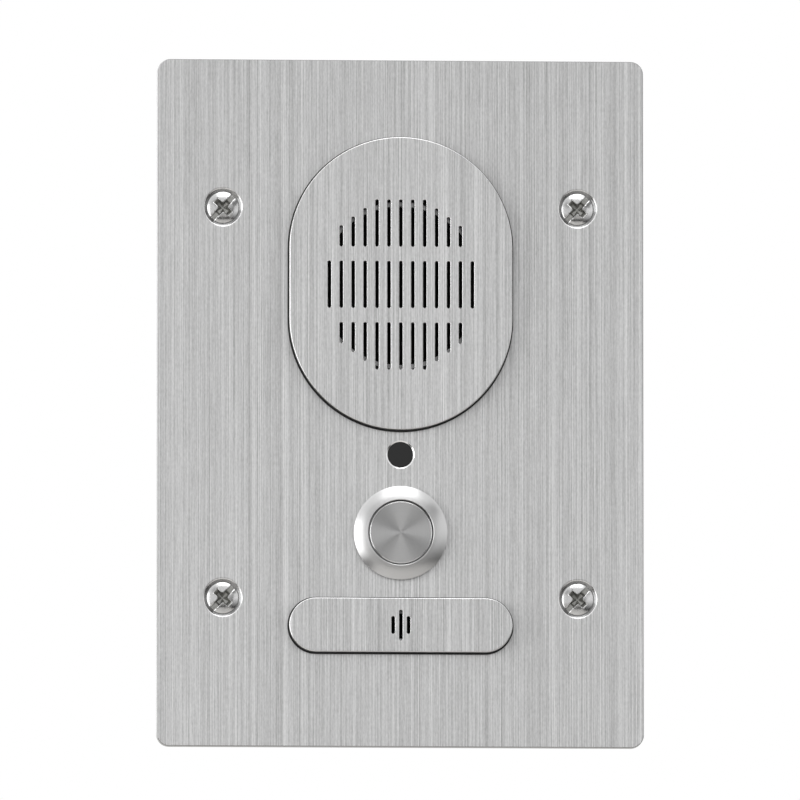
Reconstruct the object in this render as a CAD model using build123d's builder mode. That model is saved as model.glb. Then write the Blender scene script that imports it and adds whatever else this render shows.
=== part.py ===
from build123d import *
import os
from math import cos, pi, radians, sin, sqrt

# Flush-mounting audio intercom with a stainless front plate, in millimetres.
# +X is the caller's right, +Z is up and +Y goes into the wall. The origin is the centre of the four
# mounting screws on the wall plane. A height is a distance in front of the wall plane, towards the
# caller, so what lies behind the wall plane has a negative height.

os.makedirs("parts", exist_ok=True)

# Shared clearances
running_clearance = 0.05
screw_clearance = 0.2

# Front plate, a three-gang wall plate standing upright
plate_width = 114.3
plate_height = 161.9
plate_thickness = 3.0
plate_corner_radius = 3.0
plate_edge_chamfer = 0.15
screw_spacing_x = 83.34
screw_spacing_z = 92.08

# Wall seal behind the plate
wall_seal_thickness = 1.5
wall_seal_inset = 2.0
wall_seal_clearance = 1.0

# Mounting screws, raised countersunk, with a waisted neck through the plate and the seal
screw_head_radius = 3.85
screw_head_rise = 0.8
screw_seat_radius = 4.55
screw_seat_round = 0.5
screw_hole_radius = 2.25
screw_neck_radius = 1.6
screw_thread_radius = 2.0
screw_thread_length = 14.0
screw_tip_chamfer = 0.6
screw_slot_width = 1.0
screw_slot_depth = 1.0
screw_cross_width = 1.1
screw_cross_length = 4.4
screw_cross_depth = 1.7
screw_drive_angle = 47.0

# Raised covers over the loudspeaker and the microphone
cover_width = 52.6
cover_thickness = 2.2
cover_draft_angle = 3.5
cover_edge_radius = 0.25
cover_slot_chamfer = 0.1
cover_seal_thickness = 0.8
cover_seal_margin = 0.2
cover_seal_setback = 1.05
stud_radius = 1.5
stud_projection = 1.2
speaker_cover_height = 69.3
speaker_z = 27.95
speaker_stud_inset = 2.8
speaker_stud_angle = 47.6
microphone_cover_height = 12.95
microphone_z = -52.55
microphone_stud_inset = 7.5

# Grille slots of the speaker cover: a middle row and two rows that step down to an oval
grille_slot_width = 0.82
grille_slot_length = 11.1
grille_pitch = 2.8
grille_row_pitch = 14.5
grille_drop = 0.28
grille_step = 2.05
grille_middle_columns = 6
grille_outer_columns = 5
grille_full_columns = 2
speaker_hole_radius = 18.75

# Slots of the microphone cover
voice_slot_width = 0.83
voice_slot_length = 7.1
voice_side_slot_length = 4.1
voice_slot_pitch = 1.81
microphone_hole_radius = 3.0

# Status window with its light pipe
lens_z = -12.2
lens_radius = 3.0
lens_recess = 0.25
lens_hole_chamfer = 0.3
lens_hole_angle = 116
lens_flange_radius = 4.5
lens_flange_thickness = 1.0
lens_collar_radius = 3.2
lens_collar_length = 3.5
light_pipe_radius = 2.0
led_width = 3.5
led_depth = 2.8
led_height = 1.9
led_gap = 0.5

# Push button, a 19 mm metal switch
button_z = -30.75
bezel_radius = 11.0
bezel_rise = 2.4
bezel_edge = 1.1
bezel_crown = 0.16
bezel_bevel = 0.1
bezel_bevel_depth = 0.06
barrel_radius = 9.5
barrel_hole_clearance = 0.1
button_bore_radius = 7.7
button_cap_radius = 7.3
button_cap_recess = 0.3
button_cap_bevel = 0.2
button_cap_bevel_depth = 0.1
button_cap_wall = 1.6
button_skirt_wall = 1.0
button_collar_length = 1.0
button_cap_length = 4.0
button_travel = 2.0
button_stop_room = 4.1
guide_wall = 2.0
stem_radius = 2.5
stem_groove_radius = 2.1
stem_tip_radius = 1.2
clip_thickness = 0.6
clip_radius = 4.2
stem_land = 0.85
bridge_thickness = 0.5
bridge_width = 3.0
bridge_length = 11.0
rivet_length = 0.4
chamber_radius = 8.0
contact_z = 4.0
contact_radius = 1.2
contact_height = 1.45
switch_base_thickness = 2.0
switch_flange_radius = 9.0
switch_flange_thickness = 1.0
blade_width = 2.8
blade_thickness = 0.8
blade_length = 3.5
spring_radius = 4.6
spring_wire_radius = 0.35
spring_turns = 5
button_seal_thickness = 0.5
button_seal_radius = 10.7
washer_thickness = 0.8
washer_radius = 12.2
washer_teeth = 16
washer_tooth_depth = 0.9
nut_thickness = 3.0
nut_flats = 24.0

# Loudspeaker, 50 mm, in the order of its stack behind the plate
speaker_mesh_radius = 23.0
speaker_mesh_thickness = 0.4
speaker_gasket_thickness = 1.6
speaker_gasket_band = 4.5
surround_clearance = 0.3
speaker_radius = 25.0
speaker_flange_thickness = 0.8
surround_thickness = 0.4
surround_lip = 3.3
surround_roll_radius = 1.1
cone_lip = 1.4
cone_thickness = 0.4
cone_depth = 6.1
cone_neck_length = 1.0
coil_former_radius = 6.0
coil_former_wall = 0.3
coil_winding_depth = 0.45
coil_winding_length = 1.6
coil_overlap_share = 0.8
dust_cap_radius = 7.0
dust_cap_rise = 1.6
dust_cap_thickness = 0.3
dust_cap_clearance = 0.12
spider_drop = 1.0
spider_thickness = 0.3
spider_wave = 0.45
spider_waves = 4
spider_lip = 1.4
ledge_radius = 14.2
ledge_width = 2.4
basket_wall = 0.8
basket_drop = 2.5
basket_floor_radius = 8.5
basket_window_width = 7.0
basket_window_margin = 1.0
magnet_gap_clearance = 0.45
top_plate_radius = 13.5
top_plate_thickness = 2.0
magnet_radius = 14.0
magnet_bore_radius = 8.5
magnet_thickness = 5.0
yoke_thickness = 2.0
pole_radius = 5.3
ear_width = 10.0
ear_reach = 19.0
terminal_strip_thickness = 1.0
terminal_strip_margin = 0.3
solder_tab_width = 1.6
solder_tab_thickness = 0.5
solder_tab_reach = 3.5
solder_tab_pitch = 5.0
clamp_end = 3.5
clamp_corner_radius = 6.0
clamp_thickness = 1.2
clamp_grip = 2.8
spacer_wall = 1.3
stud_nut_flats = 5.5
stud_nut_thickness = 2.4

# Microphone
membrane_radius = 4.0
membrane_thickness = 0.3
boot_radius = 6.5
boot_front_wall = 2.0
boot_port_radius = 2.0
boot_lip = 0.2
capsule_radius = 4.8
capsule_length = 5.0
strap_end = 4.0
strap_height = 10.0
strap_thickness = 1.0
strap_hole_radius = 3.2

# Rear housing
housing_screw_room = 6.67
housing_end_room = 11.8
housing_wall = 2.0
housing_corner_radius = 5.0
housing_edge_radius = 1.5
housing_seal_thickness = 0.8
post_size = 10.4
post_sink = 0.8
post_corner_radius = 2.0
standoff_radius = 2.75
standoff_clearance = 0.5
housing_screw_radius = 1.5
housing_screw_head_radius = 2.9
housing_screw_head_height = 2.0
housing_screw_sink = 2.6
housing_screw_bite = 8.0
housing_screw_cross_width = 0.7
housing_screw_cross_length = 3.0
housing_screw_cross_depth = 1.2
standoff_floor = 1.5

# Main board on bosses of the housing
board_gap = 1.7
board_thickness = 1.6
board_margin = 0.5
board_hole_inset = 4.5
boss_length = 11.9
boss_radius = 3.2
board_screw_radius = 1.2
board_screw_head_radius = 2.4
board_screw_head_height = 1.6
board_screw_bite = 8.0

# Network jack and terminal block, which reach through the rear wall
connector_z = -30.0
cutout_clearance = 0.4
jack_x = -16.0
jack_width = 16.0
jack_depth = 13.6
jack_shield_wall = 0.3
jack_projection = 0.7
jack_mouth_width = 11.7
jack_mouth_depth = 6.8
jack_mouth_length = 10.5
jack_latch_width = 4.2
jack_latch_depth = 1.8
jack_contact_count = 8
jack_contact_pitch = 1.02
jack_contact_width = 0.45
jack_contact_thickness = 0.5
jack_contact_setback = 1.5
terminal_x = 13.0
terminal_ways = 6
terminal_pitch = 3.5
terminal_end_wall = 1.5
terminal_depth = 11.0
terminal_projection = 0.4
terminal_entry = 2.6
terminal_entry_length = 8.0
terminal_entry_z_share = -0.24
terminal_screw_z_share = 0.24
terminal_screw_radius = 1.35
terminal_screw_height = 1.6
terminal_screw_sink = 0.5
terminal_slot_width = 0.5
terminal_slot_depth = 0.6

# Parts on the front of the board
processor_x = -18.0
processor_z = -4.0
processor_size = 14.0
processor_height = 1.4
amplifier_x = 20.0
amplifier_z = 8.0
amplifier_width = 6.0
amplifier_depth = 5.0
amplifier_height = 1.1
network_chip_x = -18.0
network_chip_z = -42.0
network_chip_size = 7.0
network_chip_height = 1.0
capacitor_x = 27.0
capacitor_top_z = 12.0
capacitor_pitch = 14.0
capacitor_count = 3
capacitor_radius = 3.15
capacitor_height = 7.7
capacitor_base_height = 1.0
transformer_x = -18.0
transformer_z = -24.0
transformer_width = 12.8
transformer_depth = 9.4
transformer_height = 5.6

# Wire headers, their plugs and the leads
header_width = 5.0
header_length = 7.5
header_height = 4.0
plug_inset = 0.4
plug_height = 4.5
pin_pitch = 2.5
speaker_header_x = 14.0
speaker_header_z = -7.0
microphone_header_x = 14.0
microphone_header_z = -44.0
button_header_x = 19.0
button_header_z = -30.4
lead_radius = 0.45
lead_rise = 4.2
lead_bend_radius = 1.8
speaker_lead_drop = 6.0
speaker_lead_step = 2.6
microphone_lead_x = 1.2
button_lead_reach = 9.0

# Heights of the faces that the pieces share
plate_back = wall_seal_thickness
plate_front = plate_back + plate_thickness
cover_back = plate_front + cover_seal_thickness
screw_rim = plate_front - (screw_seat_radius - screw_head_radius)
screw_top = screw_rim + screw_head_rise
screw_neck_front = screw_rim - (screw_head_radius - screw_neck_radius)

bezel_back = plate_front + button_seal_thickness
bezel_front = bezel_back + bezel_rise
cap_front = bezel_front - button_cap_recess
cap_inside = cap_front - button_cap_wall
cap_back = cap_front - button_cap_length
guide_front = cap_back - button_travel - button_stop_room
guide_back = guide_front - guide_wall
clip_front = guide_back - running_clearance
clip_back = clip_front - clip_thickness
stem_back = clip_back - stem_land
bridge_back = stem_back - bridge_thickness
contact_front = bridge_back - button_travel - running_clearance
switch_base_front = contact_front - contact_height
barrel_back = switch_base_front - switch_base_thickness
switch_base_back = barrel_back - switch_flange_thickness
blade_back = switch_base_back - blade_length

lens_front = plate_front - lens_recess
lens_flange_back = plate_back - lens_flange_thickness
lens_collar_back = lens_flange_back - lens_collar_length

mesh_back = plate_back - speaker_mesh_thickness
gasket_back = mesh_back - speaker_gasket_thickness
surround_back = gasket_back - surround_thickness
flange_back = surround_back - speaker_flange_thickness
clamp_back = flange_back - clamp_thickness
speaker_nut_back = clamp_back - stud_nut_thickness
cone_neck_front = surround_back - cone_depth
cone_neck_back = cone_neck_front - cone_neck_length
ledge_front = cone_neck_back - spider_drop
ledge_back = ledge_front - basket_wall
top_plate_front = ledge_back - basket_drop
top_plate_back = top_plate_front - top_plate_thickness
magnet_back = top_plate_back - magnet_thickness
yoke_back = magnet_back - yoke_thickness
coil_back = top_plate_front - coil_overlap_share * top_plate_thickness
strip_back = ledge_back - terminal_strip_thickness
tab_back = strip_back - solder_tab_thickness

membrane_back = plate_back - membrane_thickness
capsule_front = membrane_back - boot_front_wall
capsule_back = capsule_front - capsule_length
boot_back = capsule_back - boot_lip
strap_back = boot_back - strap_thickness
microphone_nut_back = strap_back - stud_nut_thickness

housing_front = plate_back - housing_seal_thickness
post_front = microphone_nut_back - stud_projection - standoff_clearance
board_front = yoke_back - board_gap
board_back = board_front - board_thickness
housing_floor = board_back - boss_length
housing_back = housing_floor - housing_wall
housing_screw_seat = housing_back + housing_screw_sink
jack_back = housing_back - jack_projection
terminal_back = housing_back - terminal_projection
led_front = board_front + led_height
header_front = board_front + header_height
plug_front = header_front + plug_height

# Radii and widths that follow from the pieces they fit
stud_hole_radius = stud_radius + screw_clearance
standoff_length = plate_back - post_front
stud_circle_radius = cover_width / 2 - speaker_stud_inset
speaker_stud_x = stud_circle_radius * cos(radians(speaker_stud_angle))
speaker_stud_z = ((speaker_cover_height - cover_width) / 2
                  + stud_circle_radius * sin(radians(speaker_stud_angle)))
microphone_stud_x = cover_width / 2 - microphone_stud_inset
clamp_width = 2 * speaker_radius
clamp_height = 2 * (speaker_stud_z + clamp_end)
strap_width = 2 * (microphone_stud_x + strap_end)
surround_radius = speaker_radius - speaker_gasket_band - surround_clearance
roll_inner_radius = surround_radius - 2 * surround_roll_radius
roll_centre_radius = surround_radius - surround_roll_radius
cone_rim_radius = roll_inner_radius
cone_lip_radius = cone_rim_radius - cone_lip
coil_winding_radius = coil_former_radius + coil_winding_depth
spider_radius = ledge_radius - spider_thickness
housing_width = screw_spacing_x - 2 * housing_screw_room
housing_height = 2 * (housing_end_room - microphone_z)
housing_inner_width = housing_width - 2 * housing_wall
housing_inner_height = housing_height - 2 * housing_wall
housing_inner_radius = housing_corner_radius - housing_wall
post_spacing_x = housing_inner_width + 2 * post_sink - post_size
post_spacing_z = housing_inner_height + 2 * post_sink - post_size
board_width = housing_inner_width - 2 * board_margin
board_height = post_spacing_z - post_size - 2 * board_margin
board_hole_x = board_width / 2 - board_hole_inset
board_hole_z = board_height / 2 - board_hole_inset
terminal_width = terminal_ways * terminal_pitch + terminal_end_wall
jack_body_width = jack_width - 2 * jack_shield_wall
jack_body_depth = jack_depth - 2 * jack_shield_wall


def level(height, x=0, z=0):
    """A sketch plane that faces the caller, at a height in front of the wall plane."""
    return Plane(origin=(x, -height, z), x_dir=(1, 0, 0), z_dir=(0, -1, 0))


def turning(x, z):
    """A sketch plane for turned pieces: radius across and height up, through the axis at x and z."""
    return Plane(origin=(x, 0, z), x_dir=(1, 0, 0), z_dir=(0, 0, -1))


def turning_axis(x, z):
    """The axis of a turned piece, which points at the caller."""
    return Axis((x, 0, z), (0, -1, 0))


def place(x, z, height):
    """A point from its place on the plate and its height."""
    return (x, -height, z)


screw_places = [(x, z) for x in (-screw_spacing_x / 2, screw_spacing_x / 2)
                for z in (-screw_spacing_z / 2, screw_spacing_z / 2)]


# Front plate
with BuildPart() as front_plate:
    with BuildSketch(level(plate_back)):
        RectangleRounded(plate_width, plate_height, plate_corner_radius)
        with Locations((0, speaker_z - grille_drop)):
            Circle(speaker_hole_radius, mode=Mode.SUBTRACT)
        with Locations((0, speaker_z)):
            with GridLocations(2 * speaker_stud_x, 2 * speaker_stud_z, 2, 2):
                Circle(stud_hole_radius, mode=Mode.SUBTRACT)
        with Locations((0, microphone_z)):
            Circle(microphone_hole_radius, mode=Mode.SUBTRACT)
            with GridLocations(2 * microphone_stud_x, 0, 2, 1):
                Circle(stud_hole_radius, mode=Mode.SUBTRACT)
        with Locations((0, button_z)):
            Circle(barrel_radius + barrel_hole_clearance, mode=Mode.SUBTRACT)
    extrude(amount=plate_thickness)
    rim = front_plate.faces().sort_by(Axis.Y)[0].outer_wire()
    chamfer(rim.edges(), length=plate_edge_chamfer)
    with Locations(level(plate_front, 0, lens_z)):
        CounterSinkHole(lens_radius + running_clearance,
                        lens_radius + running_clearance + lens_hole_chamfer,
                        counter_sink_angle=lens_hole_angle)
    with Locations(level(plate_front)):
        with GridLocations(screw_spacing_x, screw_spacing_z, 2, 2):
            CounterSinkHole(screw_hole_radius, screw_seat_radius, counter_sink_angle=90)
    fillet(front_plate.edges(Select.LAST).group_by(Axis.Y)[0], radius=screw_seat_round)
front_plate.part.label = "front_plate"
export_step(front_plate.part, "parts/front_plate.step")

# Wall seal, a flat ring round the housing
with BuildPart() as wall_seal:
    with BuildSketch(level(0)):
        RectangleRounded(plate_width - 2 * wall_seal_inset, plate_height - 2 * wall_seal_inset,
                         plate_corner_radius)
        RectangleRounded(housing_width + 2 * wall_seal_clearance,
                         housing_height + 2 * wall_seal_clearance,
                         housing_corner_radius + wall_seal_clearance, mode=Mode.SUBTRACT)
        with GridLocations(screw_spacing_x, screw_spacing_z, 2, 2):
            Circle(screw_hole_radius + screw_clearance, mode=Mode.SUBTRACT)
    extrude(amount=wall_seal_thickness)
wall_seal.part.label = "wall_seal"
export_step(wall_seal.part, "parts/wall_seal.step")

# Mounting screws, with a slot and a cross in their raised heads
with BuildPart() as mounting_screws:
    for screw_x, screw_z in screw_places:
        with BuildSketch(turning(screw_x, screw_z)):
            with BuildLine():
                dome_radius = (screw_head_radius**2 + screw_head_rise**2) / (2 * screw_head_rise)
                RadiusArc((screw_head_radius, screw_rim), (0, screw_top), -dome_radius)
                Polyline(
                    (0, screw_top),
                    (0, -screw_thread_length),
                    (screw_thread_radius - screw_tip_chamfer, -screw_thread_length),
                    (screw_thread_radius, screw_tip_chamfer - screw_thread_length),
                    (screw_thread_radius, 0),
                    (screw_neck_radius, 0),
                    (screw_neck_radius, screw_neck_front),
                    (screw_head_radius, screw_rim),
                )
            make_face()
        revolve(axis=turning_axis(screw_x, screw_z))
        with BuildSketch(level(screw_top, screw_x, screw_z)):
            Rectangle(3 * screw_head_radius, screw_slot_width, rotation=screw_drive_angle)
        extrude(amount=-screw_slot_depth, mode=Mode.SUBTRACT)
        with BuildSketch(level(screw_top, screw_x, screw_z)):
            Rectangle(screw_cross_length, screw_cross_width, rotation=screw_drive_angle)
            Rectangle(screw_cross_width, screw_cross_length, rotation=screw_drive_angle)
        extrude(amount=-screw_cross_depth, mode=Mode.SUBTRACT)
mounting_screws.part.label = "mounting_screws"
export_step(mounting_screws.part, "parts/mounting_screws.step")

# Speaker cover, with draft on its rim, a slotted grille and four welded studs
with BuildPart() as speaker_cover:
    with BuildSketch(level(cover_back, 0, speaker_z)):
        SlotOverall(speaker_cover_height, cover_width, rotation=90)
    extrude(amount=cover_thickness, taper=cover_draft_angle)
    rim = speaker_cover.faces().sort_by(Axis.Y)[0].outer_wire()
    fillet(rim.edges(), radius=cover_edge_radius)
    with BuildSketch(level(cover_back, 0, speaker_z)):
        for column in range(-grille_middle_columns, grille_middle_columns + 1):
            with Locations((column * grille_pitch, -grille_drop)):
                SlotOverall(grille_slot_length, grille_slot_width, rotation=90)
        for column in range(-grille_outer_columns, grille_outer_columns + 1):
            steps = max(0, abs(column) - grille_full_columns)
            length = grille_slot_length - steps * grille_step
            middle = grille_row_pitch - steps * grille_step / 2
            with Locations((column * grille_pitch, middle - grille_drop),
                           (column * grille_pitch, -middle - grille_drop)):
                SlotOverall(length, grille_slot_width, rotation=90)
    extrude(amount=cover_thickness, mode=Mode.SUBTRACT)
    for slot in speaker_cover.faces().sort_by(Axis.Y)[0].inner_wires():
        chamfer(slot.edges(), length=cover_slot_chamfer)
    with BuildSketch(level(speaker_nut_back - stud_projection, 0, speaker_z)):
        with GridLocations(2 * speaker_stud_x, 2 * speaker_stud_z, 2, 2):
            Circle(stud_radius)
    extrude(amount=cover_back - speaker_nut_back + stud_projection)
speaker_cover.part.label = "speaker_cover"
export_step(speaker_cover.part, "parts/speaker_cover.step")

# Seal under the speaker cover
with BuildPart() as speaker_cover_seal:
    with BuildSketch(level(plate_front, 0, speaker_z)):
        SlotOverall(speaker_cover_height + 2 * cover_seal_margin, cover_width + 2 * cover_seal_margin,
                    rotation=90)
        with Locations((0, -grille_drop)):
            Circle(speaker_hole_radius + cover_seal_setback, mode=Mode.SUBTRACT)
        with GridLocations(2 * speaker_stud_x, 2 * speaker_stud_z, 2, 2):
            Circle(stud_hole_radius, mode=Mode.SUBTRACT)
    extrude(amount=cover_seal_thickness)
speaker_cover_seal.part.label = "speaker_cover_seal"
export_step(speaker_cover_seal.part, "parts/speaker_cover_seal.step")

# Microphone cover, with three slots and two welded studs
with BuildPart() as microphone_cover:
    with BuildSketch(level(cover_back, 0, microphone_z)):
        SlotOverall(cover_width, microphone_cover_height)
    extrude(amount=cover_thickness, taper=cover_draft_angle)
    rim = microphone_cover.faces().sort_by(Axis.Y)[0].outer_wire()
    fillet(rim.edges(), radius=cover_edge_radius)
    with BuildSketch(level(cover_back, 0, microphone_z)):
        SlotOverall(voice_slot_length, voice_slot_width, rotation=90)
        with GridLocations(2 * voice_slot_pitch, 0, 2, 1):
            SlotOverall(voice_side_slot_length, voice_slot_width, rotation=90)
    extrude(amount=cover_thickness, mode=Mode.SUBTRACT)
    for slot in microphone_cover.faces().sort_by(Axis.Y)[0].inner_wires():
        chamfer(slot.edges(), length=cover_slot_chamfer)
    with BuildSketch(level(microphone_nut_back - stud_projection, 0, microphone_z)):
        with GridLocations(2 * microphone_stud_x, 0, 2, 1):
            Circle(stud_radius)
    extrude(amount=cover_back - microphone_nut_back + stud_projection)
microphone_cover.part.label = "microphone_cover"
export_step(microphone_cover.part, "parts/microphone_cover.step")

# Seal under the microphone cover
with BuildPart() as microphone_cover_seal:
    with BuildSketch(level(plate_front, 0, microphone_z)):
        SlotOverall(cover_width + 2 * cover_seal_margin, microphone_cover_height + 2 * cover_seal_margin)
        SlotOverall(voice_slot_length + microphone_cover_height / 4, microphone_cover_height / 2,
                    rotation=90, mode=Mode.SUBTRACT)
        with GridLocations(2 * microphone_stud_x, 0, 2, 1):
            Circle(stud_hole_radius, mode=Mode.SUBTRACT)
    extrude(amount=cover_seal_thickness)
microphone_cover_seal.part.label = "microphone_cover_seal"
export_step(microphone_cover_seal.part, "parts/microphone_cover_seal.step")

# Button bezel with its barrel: a bore for the cap in front, a guide wall and a contact chamber behind
with BuildPart() as button_bezel:
    with BuildSketch(turning(0, button_z)):
        with BuildLine():
            land_radius = button_bore_radius + bezel_bevel
            SagittaArc((land_radius, bezel_front), (bezel_radius, bezel_back + bezel_edge), bezel_crown)
            Polyline(
                (bezel_radius, bezel_back + bezel_edge),
                (bezel_radius, bezel_back),
                (barrel_radius, bezel_back),
                (barrel_radius, barrel_back),
                (chamber_radius, barrel_back),
                (chamber_radius, guide_back),
                (stem_radius + running_clearance, guide_back),
                (stem_radius + running_clearance, guide_front),
                (button_bore_radius, guide_front),
                (button_bore_radius, bezel_front - bezel_bevel_depth),
                (land_radius, bezel_front),
            )
        make_face()
    revolve(axis=turning_axis(0, button_z))
button_bezel.part.label = "button_bezel"
export_step(button_bezel.part, "parts/button_bezel.step")

# Button cap, a cup with a guide collar and a stem
with BuildPart() as button_cap:
    with BuildSketch(turning(0, button_z)):
        with BuildLine():
            collar_radius = button_bore_radius - running_clearance
            skirt_radius = button_cap_radius - button_skirt_wall
            Polyline(
                (0, cap_front),
                (button_cap_radius - button_cap_bevel, cap_front),
                (button_cap_radius, cap_front - button_cap_bevel_depth),
                (button_cap_radius, cap_back + button_collar_length),
                (collar_radius, cap_back + button_collar_length),
                (collar_radius, cap_back),
                (skirt_radius, cap_back),
                (skirt_radius, cap_inside),
                (stem_radius, cap_inside),
                (stem_radius, clip_front),
                (stem_groove_radius, clip_front),
                (stem_groove_radius, clip_back),
                (stem_radius, clip_back),
                (stem_radius, stem_back),
                (stem_tip_radius, stem_back),
                (stem_tip_radius, bridge_back - rivet_length),
                (0, bridge_back - rivet_length),
                close=True,
            )
        make_face()
    revolve(axis=turning_axis(0, button_z))
button_cap.part.label = "button_cap"
export_step(button_cap.part, "parts/button_cap.step")


def coil_point(turn, start, rise):
    """A point and the unit tangent of the return spring's helix, a number of turns from its start."""
    angle = 2 * pi * turn
    point = Vector(spring_radius * cos(angle), -(start + rise * turn), button_z + spring_radius * sin(angle))
    along = Vector(-2 * pi * spring_radius * sin(angle), -rise, 2 * pi * spring_radius * cos(angle))
    return point, along.normalized()


# Return spring of the button, wound as two arcs for each quarter turn
with BuildPart() as button_spring:
    coil_start = guide_front + spring_wire_radius + running_clearance
    coil_end = cap_inside - spring_wire_radius - running_clearance
    coil_rise = (coil_end - coil_start) / spring_turns
    with BuildLine() as coil:
        for quarter in range(4 * spring_turns):
            here, along_here = coil_point(quarter / 4, coil_start, coil_rise)
            there, along_there = coil_point((quarter + 1) / 4, coil_start, coil_rise)
            chord = there - here
            both = along_here + along_there
            spread = 4 - both.dot(both)
            handle = (sqrt(chord.dot(both)**2 + spread * chord.dot(chord)) - chord.dot(both)) / spread
            near = here + along_here * handle
            far = there - along_there * handle
            middle = (near + far) / 2
            TangentArc(here, middle, tangent=along_here)
            TangentArc(middle, there, tangent=far - near)
    with BuildSketch(Plane(origin=coil.line @ 0, z_dir=coil.line % 0)):
        Circle(spring_wire_radius)
    sweep()
coil_gap = (coil.line @ (1 / spring_turns) - coil.line @ 0).length - 2 * spring_wire_radius
print(f"return spring: {spring_turns} turns, {coil_gap:.2f} mm between turns")
button_spring.part.label = "button_spring"
export_step(button_spring.part, "parts/button_spring.step")

# Retaining clip in the groove of the stem, open on one side
with BuildPart() as button_clip:
    with BuildSketch(level(clip_back, 0, button_z)):
        Circle(clip_radius)
        Circle(stem_groove_radius + running_clearance, mode=Mode.SUBTRACT)
        with Locations((clip_radius, 0)):
            Rectangle(2 * clip_radius, 2 * stem_tip_radius, mode=Mode.SUBTRACT)
    extrude(amount=clip_thickness)
button_clip.part.label = "button_clip"
export_step(button_clip.part, "parts/button_clip.step")

# Contact bridge riveted on the stem's tip
with BuildPart() as contact_bridge:
    with BuildSketch(level(bridge_back, 0, button_z)):
        RectangleRounded(bridge_width, bridge_length, bridge_width / 4)
        Circle(stem_tip_radius + running_clearance, mode=Mode.SUBTRACT)
    extrude(amount=bridge_thickness)
contact_bridge.part.label = "contact_bridge"
export_step(contact_bridge.part, "parts/contact_bridge.step")

# Insulating base that closes the barrel
with BuildPart() as switch_base:
    with BuildSketch(level(barrel_back, 0, button_z)):
        Circle(chamber_radius - running_clearance)
    extrude(amount=switch_base_thickness)
    with BuildSketch(level(switch_base_back, 0, button_z)):
        Circle(switch_flange_radius)
    extrude(amount=switch_flange_thickness)
    with BuildSketch(level(switch_base_back, 0, button_z)):
        with GridLocations(0, 2 * contact_z, 1, 2):
            Rectangle(blade_width + 2 * running_clearance, blade_thickness + 2 * running_clearance)
    extrude(amount=switch_base_front - switch_base_back, mode=Mode.SUBTRACT)
switch_base.part.label = "switch_base"
export_step(switch_base.part, "parts/switch_base.step")

# Fixed contacts with their solder blades
with BuildPart() as switch_terminals:
    with BuildSketch(level(switch_base_front, 0, button_z)):
        with GridLocations(0, 2 * contact_z, 1, 2):
            Circle(contact_radius)
    extrude(amount=contact_front - switch_base_front)
    with BuildSketch(level(blade_back, 0, button_z)):
        with GridLocations(0, 2 * contact_z, 1, 2):
            Rectangle(blade_width, blade_thickness)
    extrude(amount=switch_base_front - blade_back)
switch_terminals.part.label = "switch_terminals"
export_step(switch_terminals.part, "parts/switch_terminals.step")

# Panel seal under the bezel
with BuildPart() as button_seal:
    with BuildSketch(level(plate_front, 0, button_z)):
        Circle(button_seal_radius)
        Circle(barrel_radius + barrel_hole_clearance, mode=Mode.SUBTRACT)
    extrude(amount=button_seal_thickness)
button_seal.part.label = "button_seal"
export_step(button_seal.part, "parts/button_seal.step")

# Toothed washer behind the plate
with BuildPart() as button_washer:
    with BuildSketch(level(plate_back - washer_thickness, 0, button_z)):
        Circle(washer_radius)
        Circle(barrel_radius + barrel_hole_clearance, mode=Mode.SUBTRACT)
        with PolarLocations(washer_radius, washer_teeth):
            Rectangle(2 * washer_tooth_depth, washer_tooth_depth, mode=Mode.SUBTRACT)
    extrude(amount=washer_thickness)
button_washer.part.label = "button_washer"
export_step(button_washer.part, "parts/button_washer.step")

# Nut that clamps the button to the plate
with BuildPart() as button_nut:
    with BuildSketch(level(plate_back - washer_thickness - nut_thickness, 0, button_z)):
        RegularPolygon(nut_flats / 2, 6, major_radius=False)
        Circle(barrel_radius + running_clearance, mode=Mode.SUBTRACT)
    extrude(amount=nut_thickness)
button_nut.part.label = "button_nut"
export_step(button_nut.part, "parts/button_nut.step")

# Status window with a flange behind the plate and a collar for the light pipe
with BuildPart() as status_lens:
    with BuildSketch(turning(0, lens_z)):
        with BuildLine():
            pipe_bore = light_pipe_radius + running_clearance
            Polyline(
                (0, lens_front),
                (lens_radius, lens_front),
                (lens_radius, plate_back),
                (lens_flange_radius, plate_back),
                (lens_flange_radius, lens_flange_back),
                (lens_collar_radius, lens_flange_back),
                (lens_collar_radius, lens_collar_back),
                (pipe_bore, lens_collar_back),
                (pipe_bore, lens_flange_back),
                (0, lens_flange_back),
                close=True,
            )
        make_face()
    revolve(axis=turning_axis(0, lens_z))
status_lens.part.label = "status_lens"
export_step(status_lens.part, "parts/status_lens.step")

# Light pipe from the window back to the diode
with BuildPart() as light_pipe:
    with BuildSketch(level(led_front + led_gap, 0, lens_z)):
        Circle(light_pipe_radius)
    extrude(amount=lens_flange_back - led_front - led_gap)
light_pipe.part.label = "light_pipe"
export_step(light_pipe.part, "parts/light_pipe.step")

# Light emitting diode on the board
with BuildPart() as status_led:
    with BuildSketch(level(board_front, 0, lens_z)):
        Rectangle(led_width, led_depth)
    extrude(amount=led_height)
status_led.part.label = "status_led"
export_step(status_led.part, "parts/status_led.step")

# Dust mesh over the loudspeaker
with BuildPart() as speaker_mesh:
    with BuildSketch(level(mesh_back, 0, speaker_z)):
        Circle(speaker_mesh_radius)
    extrude(amount=speaker_mesh_thickness)
speaker_mesh.part.label = "speaker_mesh"
export_step(speaker_mesh.part, "parts/speaker_mesh.step")

# Foam gasket between mesh and loudspeaker
with BuildPart() as speaker_gasket:
    with BuildSketch(level(gasket_back, 0, speaker_z)):
        Circle(speaker_radius)
        Circle(speaker_radius - speaker_gasket_band, mode=Mode.SUBTRACT)
    extrude(amount=speaker_gasket_thickness)
speaker_gasket.part.label = "speaker_gasket"
export_step(speaker_gasket.part, "parts/speaker_gasket.step")

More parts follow.
